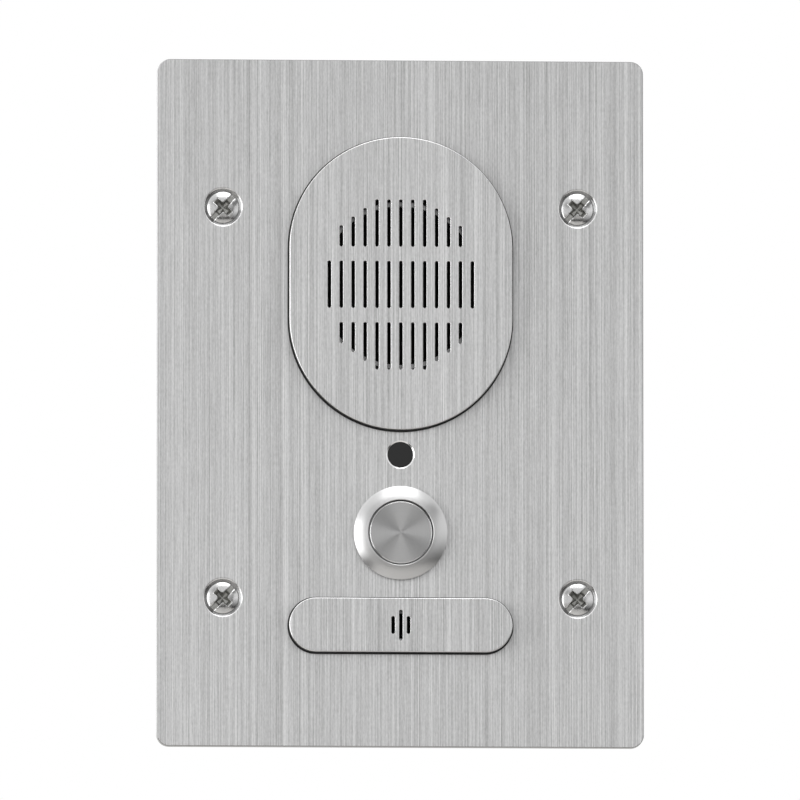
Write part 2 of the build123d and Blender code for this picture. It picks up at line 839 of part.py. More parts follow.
# Surround, a half roll between the basket's flange and the cone's rim
with BuildPart() as speaker_surround:
    with BuildSketch(turning(0, speaker_z)):
        with BuildLine():
            inner_roll = surround_roll_radius - surround_thickness
            ThreePointArc(
                (surround_radius, gasket_back),
                (roll_centre_radius, gasket_back + surround_roll_radius),
                (roll_inner_radius, gasket_back),
            )
            Polyline(
                (roll_inner_radius, gasket_back),
                (cone_lip_radius, gasket_back),
                (cone_lip_radius, surround_back),
                (roll_centre_radius - inner_roll, surround_back),
                (roll_centre_radius - inner_roll, gasket_back),
            )
            ThreePointArc(
                (roll_centre_radius - inner_roll, gasket_back),
                (roll_centre_radius, gasket_back + inner_roll),
                (roll_centre_radius + inner_roll, gasket_back),
            )
            Polyline(
                (roll_centre_radius + inner_roll, gasket_back),
                (roll_centre_radius + inner_roll, surround_back),
                (surround_radius + surround_lip, surround_back),
                (surround_radius + surround_lip, gasket_back),
                (surround_radius, gasket_back),
            )
        make_face()
    revolve(axis=turning_axis(0, speaker_z))
speaker_surround.part.label = "speaker_surround"
export_step(speaker_surround.part, "parts/speaker_surround.step")

# Cone, with a flat rim under the surround and a neck round the coil former
with BuildPart() as speaker_cone:
    with BuildSketch(turning(0, speaker_z)):
        with BuildLine():
            neck_radius = coil_former_radius + running_clearance
            Polyline(
                (cone_lip_radius, surround_back),
                (cone_rim_radius, surround_back),
                (cone_rim_radius, surround_back - cone_thickness),
                (cone_lip_radius + cone_thickness, surround_back - cone_thickness),
                (neck_radius + cone_thickness, cone_neck_front - cone_thickness),
                (neck_radius + cone_thickness, cone_neck_back),
                (neck_radius, cone_neck_back),
                (neck_radius, cone_neck_front),
                close=True,
            )
        make_face()
    revolve(axis=turning_axis(0, speaker_z))
speaker_cone.part.label = "speaker_cone"
export_step(speaker_cone.part, "parts/speaker_cone.step")

# Dust cap over the neck of the cone
with BuildPart() as dust_cap:
    cone_slope = cone_depth / (cone_lip_radius - coil_former_radius - running_clearance)
    cap_rim = cone_neck_front + cone_slope * (dust_cap_radius - coil_former_radius) + dust_cap_clearance
    with BuildSketch(turning(0, speaker_z)):
        with BuildLine():
            inner_radius = dust_cap_radius - dust_cap_thickness
            inner_rise = dust_cap_rise - dust_cap_thickness
            outer_sphere = (dust_cap_radius**2 + dust_cap_rise**2) / (2 * dust_cap_rise)
            inner_sphere = (inner_radius**2 + inner_rise**2) / (2 * inner_rise)
            RadiusArc((dust_cap_radius, cap_rim), (0, cap_rim + dust_cap_rise), -outer_sphere)
            Line((0, cap_rim + dust_cap_rise), (0, cap_rim + inner_rise))
            RadiusArc((0, cap_rim + inner_rise), (inner_radius, cap_rim), inner_sphere)
            Line((inner_radius, cap_rim), (dust_cap_radius, cap_rim))
        make_face()
    revolve(axis=turning_axis(0, speaker_z))
dust_cap.part.label = "dust_cap"
export_step(dust_cap.part, "parts/dust_cap.step")

# Voice coil: the winding on its former, in the gap of the magnet
with BuildPart() as voice_coil:
    with BuildSketch(turning(0, speaker_z)):
        with BuildLine():
            former_bore = coil_former_radius - coil_former_wall
            Polyline(
                (former_bore, cone_neck_front),
                (coil_former_radius, cone_neck_front),
                (coil_former_radius, coil_back + coil_winding_length),
                (coil_winding_radius, coil_back + coil_winding_length),
                (coil_winding_radius, coil_back),
                (former_bore, coil_back),
                close=True,
            )
        make_face()
    revolve(axis=turning_axis(0, speaker_z))
voice_coil.part.label = "voice_coil"
export_step(voice_coil.part, "parts/voice_coil.step")

# Spider, a corrugated disc that centres the coil
with BuildPart() as speaker_spider:
    with BuildSketch(turning(0, speaker_z)):
        with BuildLine():
            spider_bore = coil_former_radius + running_clearance
            wave_width = (spider_radius - spider_lip - spider_bore) / (2 * spider_waves)
            lower = [(spider_bore + step * wave_width, ledge_front + spider_wave * (step % 2))
                     for step in range(2 * spider_waves + 1)]
            lower.append((spider_radius, ledge_front))
            upper = [(radius, height + spider_thickness) for radius, height in reversed(lower)]
            Polyline(*lower, *upper, close=True)
        make_face()
    revolve(axis=turning_axis(0, speaker_z))
speaker_spider.part.label = "speaker_spider"
export_step(speaker_spider.part, "parts/speaker_spider.step")

# Basket, with a flange in front, a ledge for the spider, windows in its wall and an ear for the terminals
with BuildPart() as speaker_frame:
    with BuildSketch(turning(0, speaker_z)):
        with BuildLine():
            Polyline(
                (surround_radius, surround_back),
                (ledge_radius, ledge_front),
                (ledge_radius - ledge_width, ledge_front),
                (ledge_radius - ledge_width, ledge_back),
                (top_plate_radius - basket_wall, ledge_back),
                (top_plate_radius - basket_wall, top_plate_front + basket_wall),
                (basket_floor_radius, top_plate_front + basket_wall),
                (basket_floor_radius, top_plate_front),
                (top_plate_radius, top_plate_front),
                (top_plate_radius, ledge_back),
                (ledge_radius + basket_wall, ledge_back),
                (surround_radius + basket_wall, flange_back),
                (speaker_radius, flange_back),
                (speaker_radius, surround_back),
                close=True,
            )
        make_face()
    revolve(axis=turning_axis(0, speaker_z))
    with BuildSketch(level(ledge_front + basket_window_margin, 0, speaker_z)):
        with PolarLocations((ledge_radius + surround_radius) / 2, 4, start_angle=45):
            Rectangle(2 * (surround_radius - ledge_radius), basket_window_width)
    extrude(amount=flange_back - ledge_front - 2 * basket_window_margin, mode=Mode.SUBTRACT)
    with BuildSketch(level(ledge_back, 0, speaker_z)):
        with Locations((0, -(ledge_radius + ear_reach) / 2)):
            Rectangle(ear_width, ear_reach - ledge_radius)
    extrude(amount=basket_wall)
speaker_frame.part.label = "speaker_frame"
export_step(speaker_frame.part, "parts/speaker_frame.step")

# Front pole plate of the magnet
with BuildPart() as speaker_top_plate:
    with BuildSketch(level(top_plate_back, 0, speaker_z)):
        Circle(top_plate_radius)
        Circle(coil_winding_radius + magnet_gap_clearance, mode=Mode.SUBTRACT)
    extrude(amount=top_plate_thickness)
speaker_top_plate.part.label = "speaker_top_plate"
export_step(speaker_top_plate.part, "parts/speaker_top_plate.step")

# Ring magnet
with BuildPart() as speaker_magnet:
    with BuildSketch(level(magnet_back, 0, speaker_z)):
        Circle(magnet_radius)
        Circle(magnet_bore_radius, mode=Mode.SUBTRACT)
    extrude(amount=magnet_thickness)
speaker_magnet.part.label = "speaker_magnet"
export_step(speaker_magnet.part, "parts/speaker_magnet.step")

# Yoke with the pole inside the coil
with BuildPart() as speaker_yoke:
    with BuildSketch(level(yoke_back, 0, speaker_z)):
        Circle(top_plate_radius)
    extrude(amount=yoke_thickness)
    with BuildSketch(level(magnet_back, 0, speaker_z)):
        Circle(pole_radius)
    extrude(amount=top_plate_front - magnet_back)
speaker_yoke.part.label = "speaker_yoke"
export_step(speaker_yoke.part, "parts/speaker_yoke.step")

# Terminal strip on the basket's ear, with two solder tabs
with BuildPart() as speaker_terminal_strip:
    strip_reach = ear_reach - ledge_radius - basket_wall - 2 * terminal_strip_margin
    strip_middle = speaker_z - ear_reach + terminal_strip_margin + strip_reach / 2
    with BuildSketch(level(strip_back, 0, strip_middle)):
        Rectangle(ear_width - 2 * terminal_strip_margin, strip_reach)
    extrude(amount=terminal_strip_thickness)
    with BuildSketch(level(tab_back, 0, speaker_z - ear_reach)):
        with GridLocations(solder_tab_pitch, 0, 2, 1):
            Rectangle(solder_tab_width, 2 * solder_tab_reach)
    extrude(amount=solder_tab_thickness)
speaker_terminal_strip.part.label = "speaker_terminal_strip"
export_step(speaker_terminal_strip.part, "parts/speaker_terminal_strip.step")

# Clamp plate that holds the loudspeaker's flange
with BuildPart() as speaker_clamp:
    with BuildSketch(level(clamp_back, 0, speaker_z)):
        RectangleRounded(clamp_width, clamp_height, clamp_corner_radius)
        Circle(speaker_radius - clamp_grip, mode=Mode.SUBTRACT)
        with GridLocations(2 * speaker_stud_x, 2 * speaker_stud_z, 2, 2):
            Circle(stud_hole_radius, mode=Mode.SUBTRACT)
    extrude(amount=clamp_thickness)
speaker_clamp.part.label = "speaker_clamp"
export_step(speaker_clamp.part, "parts/speaker_clamp.step")

# Spacers on the studs of both covers
with BuildPart() as stud_spacers:
    with BuildSketch(level(flange_back, 0, speaker_z)):
        with GridLocations(2 * speaker_stud_x, 2 * speaker_stud_z, 2, 2):
            Circle(stud_hole_radius + spacer_wall)
            Circle(stud_hole_radius, mode=Mode.SUBTRACT)
    extrude(amount=plate_back - flange_back)
    with BuildSketch(level(boot_back, 0, microphone_z)):
        with GridLocations(2 * microphone_stud_x, 0, 2, 1):
            Circle(stud_hole_radius + spacer_wall)
            Circle(stud_hole_radius, mode=Mode.SUBTRACT)
    extrude(amount=plate_back - boot_back)
stud_spacers.part.label = "stud_spacers"
export_step(stud_spacers.part, "parts/stud_spacers.step")

# Nuts on the studs of both covers
with BuildPart() as stud_nuts:
    with BuildSketch(level(speaker_nut_back, 0, speaker_z)):
        with GridLocations(2 * speaker_stud_x, 2 * speaker_stud_z, 2, 2):
            RegularPolygon(stud_nut_flats / 2, 6, major_radius=False)
            Circle(stud_radius + running_clearance, mode=Mode.SUBTRACT)
    extrude(amount=stud_nut_thickness)
    with BuildSketch(level(microphone_nut_back, 0, microphone_z)):
        with GridLocations(2 * microphone_stud_x, 0, 2, 1):
            RegularPolygon(stud_nut_flats / 2, 6, major_radius=False)
            Circle(stud_radius + running_clearance, mode=Mode.SUBTRACT)
    extrude(amount=stud_nut_thickness)
stud_nuts.part.label = "stud_nuts"
export_step(stud_nuts.part, "parts/stud_nuts.step")

# Membrane that keeps water out of the microphone
with BuildPart() as microphone_membrane:
    with BuildSketch(level(membrane_back, 0, microphone_z)):
        Circle(membrane_radius)
    extrude(amount=membrane_thickness)
microphone_membrane.part.label = "microphone_membrane"
export_step(microphone_membrane.part, "parts/microphone_membrane.step")

# Rubber boot round the microphone capsule
with BuildPart() as microphone_boot:
    with BuildSketch(turning(0, microphone_z)):
        with BuildLine():
            capsule_bore = capsule_radius + running_clearance
            Polyline(
                (boot_port_radius, membrane_back),
                (boot_radius, membrane_back),
                (boot_radius, boot_back),
                (capsule_bore, boot_back),
                (capsule_bore, capsule_front),
                (boot_port_radius, capsule_front),
                close=True,
            )
        make_face()
    revolve(axis=turning_axis(0, microphone_z))
microphone_boot.part.label = "microphone_boot"
export_step(microphone_boot.part, "parts/microphone_boot.step")

# Microphone capsule
with BuildPart() as microphone_capsule:
    with BuildSketch(level(capsule_back, 0, microphone_z)):
        Circle(capsule_radius)
    extrude(amount=capsule_length)
microphone_capsule.part.label = "microphone_capsule"
export_step(microphone_capsule.part, "parts/microphone_capsule.step")

# Strap that clamps the boot to the plate
with BuildPart() as microphone_clamp:
    with BuildSketch(level(strap_back, 0, microphone_z)):
        SlotOverall(strap_width, strap_height)
        Circle(strap_hole_radius, mode=Mode.SUBTRACT)
        with GridLocations(2 * microphone_stud_x, 0, 2, 1):
            Circle(stud_hole_radius, mode=Mode.SUBTRACT)
    extrude(amount=strap_thickness)
microphone_clamp.part.label = "microphone_clamp"
export_step(microphone_clamp.part, "parts/microphone_clamp.step")

# Standoffs pressed into the back of the plate, which carry the housing
with BuildPart() as housing_standoffs:
    with BuildSketch(level(post_front)):
        with GridLocations(post_spacing_x, post_spacing_z, 2, 2):
            Circle(standoff_radius)
    extrude(amount=standoff_length)
    with BuildSketch(level(post_front)):
        with GridLocations(post_spacing_x, post_spacing_z, 2, 2):
            Circle(housing_screw_radius + running_clearance)
    extrude(amount=standoff_length - standoff_floor, mode=Mode.SUBTRACT)
housing_standoffs.part.label = "housing_standoffs"
export_step(housing_standoffs.part, "parts/housing_standoffs.step")

# Seal between the housing's rim and the plate
with BuildPart() as housing_seal:
    with BuildSketch(level(housing_front)):
        RectangleRounded(housing_width, housing_height, housing_corner_radius)
        RectangleRounded(housing_inner_width, housing_inner_height, housing_inner_radius,
                         mode=Mode.SUBTRACT)
    extrude(amount=housing_seal_thickness)
housing_seal.part.label = "housing_seal"
export_step(housing_seal.part, "parts/housing_seal.step")

# Rear housing: a tray with corner posts for the long screws, bosses for the board and two cut-outs
with BuildPart() as rear_housing:
    with BuildSketch(level(housing_back)):
        RectangleRounded(housing_width, housing_height, housing_corner_radius)
    extrude(amount=housing_front - housing_back)
    rim = rear_housing.faces().sort_by(Axis.Y)[-1].outer_wire()
    fillet(rim.edges(), radius=housing_edge_radius)
    with BuildSketch(level(housing_floor)):
        RectangleRounded(housing_inner_width, housing_inner_height, housing_inner_radius)
    extrude(amount=housing_front - housing_floor, mode=Mode.SUBTRACT)
    with BuildSketch(level(housing_floor)):
        with GridLocations(post_spacing_x, post_spacing_z, 2, 2):
            RectangleRounded(post_size, post_size, post_corner_radius)
    extrude(amount=post_front - housing_floor)
    with BuildSketch(level(housing_floor)):
        with GridLocations(2 * board_hole_x, 2 * board_hole_z, 2, 2):
            Circle(boss_radius)
    extrude(amount=boss_length)
    with BuildSketch(level(board_back - board_screw_bite)):
        with GridLocations(2 * board_hole_x, 2 * board_hole_z, 2, 2):
            Circle(board_screw_radius + running_clearance)
    extrude(amount=board_screw_bite, mode=Mode.SUBTRACT)
    with BuildSketch(level(housing_back)):
        with GridLocations(post_spacing_x, post_spacing_z, 2, 2):
            Circle(housing_screw_radius + screw_clearance)
    extrude(amount=post_front - housing_back, mode=Mode.SUBTRACT)
    with BuildSketch(level(housing_back)):
        with GridLocations(post_spacing_x, post_spacing_z, 2, 2):
            Circle(housing_screw_head_radius + 2 * screw_clearance)
    extrude(amount=housing_screw_sink, mode=Mode.SUBTRACT)
    with BuildSketch(level(housing_back)):
        with Locations((jack_x, connector_z)):
            Rectangle(jack_width + 2 * cutout_clearance, jack_depth + 2 * cutout_clearance)
        with Locations((terminal_x, connector_z)):
            Rectangle(terminal_width + 2 * cutout_clearance, terminal_depth + 2 * cutout_clearance)
    extrude(amount=housing_wall, mode=Mode.SUBTRACT)
rear_housing.part.label = "rear_housing"
export_step(rear_housing.part, "parts/rear_housing.step")

# Long screws through the posts into the standoffs
with BuildPart() as housing_screws:
    with BuildSketch(level(housing_screw_seat - housing_screw_head_height)):
        with GridLocations(post_spacing_x, post_spacing_z, 2, 2):
            Circle(housing_screw_head_radius)
    extrude(amount=housing_screw_head_height)
    with BuildSketch(level(housing_screw_seat)):
        with GridLocations(post_spacing_x, post_spacing_z, 2, 2):
            Circle(housing_screw_radius)
    extrude(amount=post_front + housing_screw_bite - housing_screw_seat)
    with BuildSketch(level(housing_screw_seat - housing_screw_head_height)):
        with GridLocations(post_spacing_x, post_spacing_z, 2, 2):
            Rectangle(housing_screw_cross_length, housing_screw_cross_width)
            Rectangle(housing_screw_cross_width, housing_screw_cross_length)
    extrude(amount=housing_screw_cross_depth, mode=Mode.SUBTRACT)
housing_screws.part.label = "housing_screws"
export_step(housing_screws.part, "parts/housing_screws.step")

# Main board
with BuildPart() as main_board:
    with BuildSketch(level(board_back)):
        Rectangle(board_width, board_height)
        with GridLocations(2 * board_hole_x, 2 * board_hole_z, 2, 2):
            Circle(board_screw_radius + screw_clearance, mode=Mode.SUBTRACT)
    extrude(amount=board_thickness)
main_board.part.label = "main_board"
export_step(main_board.part, "parts/main_board.step")

# Screws of the main board
with BuildPart() as board_screws:
    with BuildSketch(level(board_front)):
        with GridLocations(2 * board_hole_x, 2 * board_hole_z, 2, 2):
            Circle(board_screw_head_radius)
    extrude(amount=board_screw_head_height)
    with BuildSketch(level(board_back - board_screw_bite)):
        with GridLocations(2 * board_hole_x, 2 * board_hole_z, 2, 2):
            Circle(board_screw_radius)
    extrude(amount=board_thickness + board_screw_bite)
board_screws.part.label = "board_screws"
export_step(board_screws.part, "parts/board_screws.step")

# Network jack: an insulator with the plug's mouth and latch groove
mouth_top = connector_z + jack_mouth_depth / 2
with BuildPart() as network_jack:
    with BuildSketch(level(jack_back, jack_x, connector_z)):
        Rectangle(jack_body_width, jack_body_depth)
    extrude(amount=board_back - jack_back)
    with BuildSketch(level(jack_back, jack_x, connector_z)):
        Rectangle(jack_mouth_width, jack_mouth_depth)
        with Locations((0, -(jack_mouth_depth + jack_latch_depth) / 2)):
            Rectangle(jack_latch_width, jack_latch_depth)
    extrude(amount=jack_mouth_length, mode=Mode.SUBTRACT)
network_jack.part.label = "network_jack"
export_step(network_jack.part, "parts/network_jack.step")

# Shield round the jack
with BuildPart() as network_jack_shield:
    with BuildSketch(level(jack_back, jack_x, connector_z)):
        Rectangle(jack_width, jack_depth)
        Rectangle(jack_body_width, jack_body_depth, mode=Mode.SUBTRACT)
    extrude(amount=board_back - jack_back)
network_jack_shield.part.label = "network_jack_shield"
export_step(network_jack_shield.part, "parts/network_jack_shield.step")

# Contacts along the upper wall of the jack's mouth
with BuildPart() as network_jack_contacts:
    with BuildSketch(level(jack_back + jack_contact_setback, jack_x, mouth_top)):
        with GridLocations(jack_contact_pitch, 0, jack_contact_count, 1):
            Rectangle(jack_contact_width, jack_contact_thickness, align=(Align.CENTER, Align.MAX))
    extrude(amount=jack_mouth_length - jack_contact_setback)
network_jack_contacts.part.label = "network_jack_contacts"
export_step(network_jack_contacts.part, "parts/network_jack_contacts.step")

# Screw terminal block: wire entries below, screws above
entry_z = connector_z + terminal_entry_z_share * terminal_depth
terminal_screw_z = connector_z + terminal_screw_z_share * terminal_depth
with BuildPart() as terminal_block:
    with BuildSketch(level(terminal_back, terminal_x, connector_z)):
        Rectangle(terminal_width, terminal_depth)
    extrude(amount=board_back - terminal_back)
    with BuildSketch(level(terminal_back, terminal_x, entry_z)):
        with GridLocations(terminal_pitch, 0, terminal_ways, 1):
            Rectangle(terminal_entry, terminal_entry)
    extrude(amount=terminal_entry_length, mode=Mode.SUBTRACT)
    with BuildSketch(level(terminal_back, terminal_x, terminal_screw_z)):
        with GridLocations(terminal_pitch, 0, terminal_ways, 1):
            Circle(terminal_screw_radius + running_clearance)
    extrude(amount=terminal_screw_sink + terminal_screw_height, mode=Mode.SUBTRACT)
terminal_block.part.label = "terminal_block"
export_step(terminal_block.part, "parts/terminal_block.step")

# Slotted screws of the terminal block
with BuildPart() as terminal_screws:
    with BuildSketch(level(terminal_back + terminal_screw_sink, terminal_x, terminal_screw_z)):
        with GridLocations(terminal_pitch, 0, terminal_ways, 1):
            Circle(terminal_screw_radius)
    extrude(amount=terminal_screw_height)
    with BuildSketch(level(terminal_back + terminal_screw_sink, terminal_x, terminal_screw_z)):
        with GridLocations(terminal_pitch, 0, terminal_ways, 1):
            Rectangle(3 * terminal_screw_radius, terminal_slot_width)
    extrude(amount=terminal_slot_depth, mode=Mode.SUBTRACT)
terminal_screws.part.label = "terminal_screws"
export_step(terminal_screws.part, "parts/terminal_screws.step")

# Chips on the board
chips = [
    (processor_x, processor_z, processor_size, processor_size, processor_height),
    (amplifier_x, amplifier_z, amplifier_width, amplifier_depth, amplifier_height),
    (network_chip_x, network_chip_z, network_chip_size, network_chip_size, network_chip_height),
]
with BuildPart() as board_chips:
    for chip_x, chip_z, chip_width, chip_depth, chip_height in chips:
        with BuildSketch(level(board_front, chip_x, chip_z)):
            Rectangle(chip_width, chip_depth)
        extrude(amount=chip_height)
board_chips.part.label = "board_chips"
export_step(board_chips.part, "parts/board_chips.step")

# Capacitors, cans on square bases
with BuildPart() as board_capacitors:
    for capacitor in range(capacitor_count):
        capacitor_z = capacitor_top_z - capacitor * capacitor_pitch
        with BuildSketch(level(board_front, capacitor_x, capacitor_z)):
            Rectangle(2 * capacitor_radius, 2 * capacitor_radius)
        extrude(amount=capacitor_base_height)
        with BuildSketch(level(board_front, capacitor_x, capacitor_z)):
            Circle(capacitor_radius)
        extrude(amount=capacitor_height)
board_capacitors.part.label = "board_capacitors"
export_step(board_capacitors.part, "parts/board_capacitors.step")

# Network transformer
with BuildPart() as network_transformer:
    with BuildSketch(level(board_front, transformer_x, transformer_z)):
        Rectangle(transformer_width, transformer_depth)
    extrude(amount=transformer_height)
network_transformer.part.label = "network_transformer"
export_step(network_transformer.part, "parts/network_transformer.step")

# Wire headers on the board and the plugs on them
header_places = [
    (speaker_header_x, speaker_header_z),
    (microphone_header_x, microphone_header_z),
    (button_header_x, button_header_z),
]
with BuildPart() as lead_headers:
    with BuildSketch(level(board_front)):
        with Locations(*header_places):
            Rectangle(header_width, header_length)
    extrude(amount=header_height)
lead_headers.part.label = "lead_headers"
export_step(lead_headers.part, "parts/lead_headers.step")

with BuildPart() as lead_plugs:
    with BuildSketch(level(header_front)):
        with Locations(*header_places):
            Rectangle(header_width - 2 * plug_inset, header_length - 2 * plug_inset)
    extrude(amount=plug_height)
lead_plugs.part.label = "lead_plugs"
export_step(lead_plugs.part, "parts/lead_plugs.step")

# Leads of the loudspeaker, from its solder tabs to its plug
lead_level = plug_front + lead_rise
tab_end = speaker_z - ear_reach - solder_tab_reach
tab_middle = (strip_back + tab_back) / 2
with BuildPart() as speaker_leads:
    for side in (1, -1):
        pin_z = speaker_header_z + side * pin_pitch / 2
        turn_z = tab_end - speaker_lead_drop + side * speaker_lead_step / 2
        with BuildLine() as route:
            FilletPolyline(
                place(side * solder_tab_pitch / 2, tab_end, tab_middle),
                place(side * solder_tab_pitch / 2, turn_z, tab_middle),
                place(speaker_header_x, pin_z, lead_level),
                place(speaker_header_x, pin_z, plug_front),
                radius=lead_bend_radius,
            )
        with BuildSketch(Plane(origin=route.line @ 0, z_dir=route.line % 0)):
            Circle(lead_radius)
        sweep()
speaker_leads.part.label = "speaker_leads"
export_step(speaker_leads.part, "parts/speaker_leads.step")

# Leads of the microphone, from its capsule to its plug
with BuildPart() as microphone_leads:
    for side in (1, -1):
        pin_z = microphone_header_z - side * pin_pitch / 2
        with BuildLine() as route:
            FilletPolyline(
                place(side * microphone_lead_x, microphone_z, capsule_back),
                place(side * microphone_lead_x, microphone_z, lead_level),
                place(microphone_header_x, pin_z, lead_level),
                place(microphone_header_x, pin_z, plug_front),
                radius=lead_bend_radius,
            )
        with BuildSketch(Plane(origin=route.line @ 0, z_dir=route.line % 0)):
            Circle(lead_radius)
        sweep()
microphone_leads.part.label = "microphone_leads"
export_step(microphone_leads.part, "parts/microphone_leads.step")

# Leads of the button, from its blades to its plug
blade_middle = (blade_back + switch_base_back) / 2
with BuildPart() as button_leads:
    for side in (1, -1):
        pin_z = button_header_z + side * pin_pitch / 2
        blade_z = button_z + side * contact_z
        with BuildLine() as route:
            FilletPolyline(
                place(blade_width / 2, blade_z, blade_middle),
                place(button_lead_reach, blade_z, blade_middle),
                place(button_header_x - header_width, pin_z, lead_level),
                place(button_header_x, pin_z, lead_level),
                place(button_header_x, pin_z, plug_front),
                radius=lead_bend_radius,
            )
        with BuildSketch(Plane(origin=route.line @ 0, z_dir=route.line % 0)):
            Circle(lead_radius)
        sweep()
button_leads.part.label = "button_leads"
export_step(button_leads.part, "parts/button_leads.step")
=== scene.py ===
# %% [markdown]
# # A flush-mounting intercom in brushed stainless steel
# The station is screwed over a box in the wall: a brushed plate carries a raised speaker cover with a
# slotted grille, a dark status window, a metal push button and a raised microphone cover. Behind the plate
# sits a moulded housing with the electronics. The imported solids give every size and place. This lesson adds
# the camera, the light and the finishes, and remakes the few pieces that need finer shapes than a solid has
# or that change shape as the station works.

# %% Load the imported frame
import math

import bmesh
import bpy
from mathutils import Matrix, Vector


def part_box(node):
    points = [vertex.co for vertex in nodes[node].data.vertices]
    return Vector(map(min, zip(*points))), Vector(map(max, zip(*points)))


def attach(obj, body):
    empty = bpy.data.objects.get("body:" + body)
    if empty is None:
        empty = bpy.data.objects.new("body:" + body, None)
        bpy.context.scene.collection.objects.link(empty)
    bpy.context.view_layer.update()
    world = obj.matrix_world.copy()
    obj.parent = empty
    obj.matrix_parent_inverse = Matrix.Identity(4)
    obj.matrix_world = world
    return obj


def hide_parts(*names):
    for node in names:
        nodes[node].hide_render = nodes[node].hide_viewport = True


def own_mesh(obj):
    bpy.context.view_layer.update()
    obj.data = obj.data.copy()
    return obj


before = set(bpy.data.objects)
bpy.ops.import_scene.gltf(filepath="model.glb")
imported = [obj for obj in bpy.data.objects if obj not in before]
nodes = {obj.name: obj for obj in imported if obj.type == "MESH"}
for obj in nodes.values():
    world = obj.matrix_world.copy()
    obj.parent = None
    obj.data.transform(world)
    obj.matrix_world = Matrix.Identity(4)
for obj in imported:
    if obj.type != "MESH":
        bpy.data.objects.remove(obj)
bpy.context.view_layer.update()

MM = 0.001

# %% [markdown]
# ## The camera
# The photograph looks almost straight at the plate, from a little below and a little to the left: the lower
# and left walls of the covers show, the upper and right ones don't, and the hole behind the grille sits a
# little low in the slots. A long lens keeps the plate's sides parallel. The scale and the aim come from the
# edges of the plate's face, measured in the picture's 800 pixels.

# %% Place the camera
plate_low, plate_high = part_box("front_plate")
plate_width = plate_high.x - plate_low.x
plate_front = plate_low.y
picture_pixels = 800
face_left, face_right = 157.1, 643.6
face_top, face_bottom = 59.3, 746.6
camera_azimuth = math.radians(-3.0)
camera_elevation = math.radians(-6.0)
lens_mm = 850.0
sensor_mm = 36.0
far_clip = 100.0

pixel = plate_width * math.cos(camera_azimuth) / (face_right - face_left)
frame_width = picture_pixels * pixel
camera_distance = frame_width * lens_mm / sensor_mm
aim = Vector((
    (picture_pixels - face_left - face_right) / 2 * pixel,
    plate_front,
    (face_top + face_bottom - picture_pixels) / 2 * pixel,
))
towards_camera = Vector((
    math.sin(camera_azimuth) * math.cos(camera_elevation),
    -math.cos(camera_azimuth) * math.cos(camera_elevation),
    math.sin(camera_elevation),
))
camera_data = bpy.data.cameras.new("camera")
camera_data.lens = lens_mm
camera_data.sensor_width = sensor_mm
camera_data.clip_end = far_clip
camera = bpy.data.objects.new("camera", camera_data)
camera.location = aim + towards_camera * camera_distance
camera.rotation_euler = (-towards_camera).to_track_quat("-Z", "Y").to_euler()
scene = bpy.context.scene
scene.collection.objects.link(camera)
scene.camera = camera
print(f"camera: {camera_distance:.2f} m away, {frame_width / MM:.1f} mm across the picture")

# %% [markdown]
# ## One helper for shader and geometry trees
# Every finish below is a small tree of nodes. One function adds a node, sets its own settings and fills its
# inputs, each with a value or with a link to another node's output. Colours are written as sRGB hex values,
# as a colour picker shows them, and one function turns them into the linear values that Blender works with.

# %% Helpers for nodes, colours and finishes
def add(tree, kind, inputs=None, **settings):
    """Adds a node. Settings are its properties, and inputs are values or sockets to link."""
    node = tree.nodes.new(kind)
    for name, value in settings.items():
        setattr(node, name, value)
    for name, value in (inputs or {}).items():
        if isinstance(value, bpy.types.NodeSocket):
            tree.links.new(value, node.inputs[name])
        else:
            node.inputs[name].default_value = value
    return node


def linear(hex_colour):
    """The linear colour of an sRGB hex value."""
    channels = [int(hex_colour[i:i + 2], 16) / 255 for i in (1, 3, 5)]
    return [c / 12.92 if c <= 0.04045 else ((c + 0.055) / 1.055) ** 2.4 for c in channels] + [1.0]


def new_finish(name, **inputs):
    """A material with one Principled shader, whose plain inputs are given with _ for spaces."""
    material = bpy.data.materials.new(name)
    material.use_nodes = True
    tree = material.node_tree
    tree.nodes.clear()
    shader = add(tree, "ShaderNodeBsdfPrincipled",
                 {key.replace("_", " "): value for key, value in inputs.items()})
    add(tree, "ShaderNodeOutputMaterial", {"Surface": shader.outputs["BSDF"]})
    return material, tree, shader


def dress(material, *names):
    """Gives CAD nodes a finish."""
    for name in names:
        for slot in nodes[name].material_slots:
            slot.material = material


print("helpers ready, mid grey is", round(linear("#808080")[0], 3))

# %% [markdown]
# ## Light
# The photograph was lit in a tent: white panels above, to the left and between the two, sides that darken
# towards a pale table, and a dimmer room behind the camera. Polished steel shows all of that. The world is
# white to the camera and to reflections, and gives a softer fill to everything else. Three area lamps are
# the panels. Cards that only reflections see are the room, the sides, two grey patches and the dark edge of
# the table.

# %% World: white behind the object and in reflections, a softer fill elsewhere
fill_strength = 0.55
white_strength = 1.0
scene.view_settings.view_transform = "Standard"
world = bpy.data.worlds.new("studio")
scene.world = world
world.use_nodes = True
sky = world.node_tree
sky.nodes.clear()
ray = add(sky, "ShaderNodeLightPath")
seen = add(sky, "ShaderNodeMath", {0: ray.outputs["Is Camera Ray"], 1: ray.outputs["Is Glossy Ray"]},
           operation="ADD")
seen = add(sky, "ShaderNodeMath", {0: seen.outputs[0], 1: ray.outputs["Is Transmission Ray"]},
           operation="ADD", use_clamp=True)
fill = add(sky, "ShaderNodeBackground", {"Color": linear("#ffffff"), "Strength": fill_strength})
white = add(sky, "ShaderNodeBackground", {"Color": linear("#ffffff"), "Strength": white_strength})
mixed = add(sky, "ShaderNodeMixShader", {0: seen.outputs[0], 1: fill.outputs[0], 2: white.outputs[0]})
add(sky, "ShaderNodeOutputWorld", {"Surface": mixed.outputs[0]})
print("world: white to the camera, fill", fill_strength)

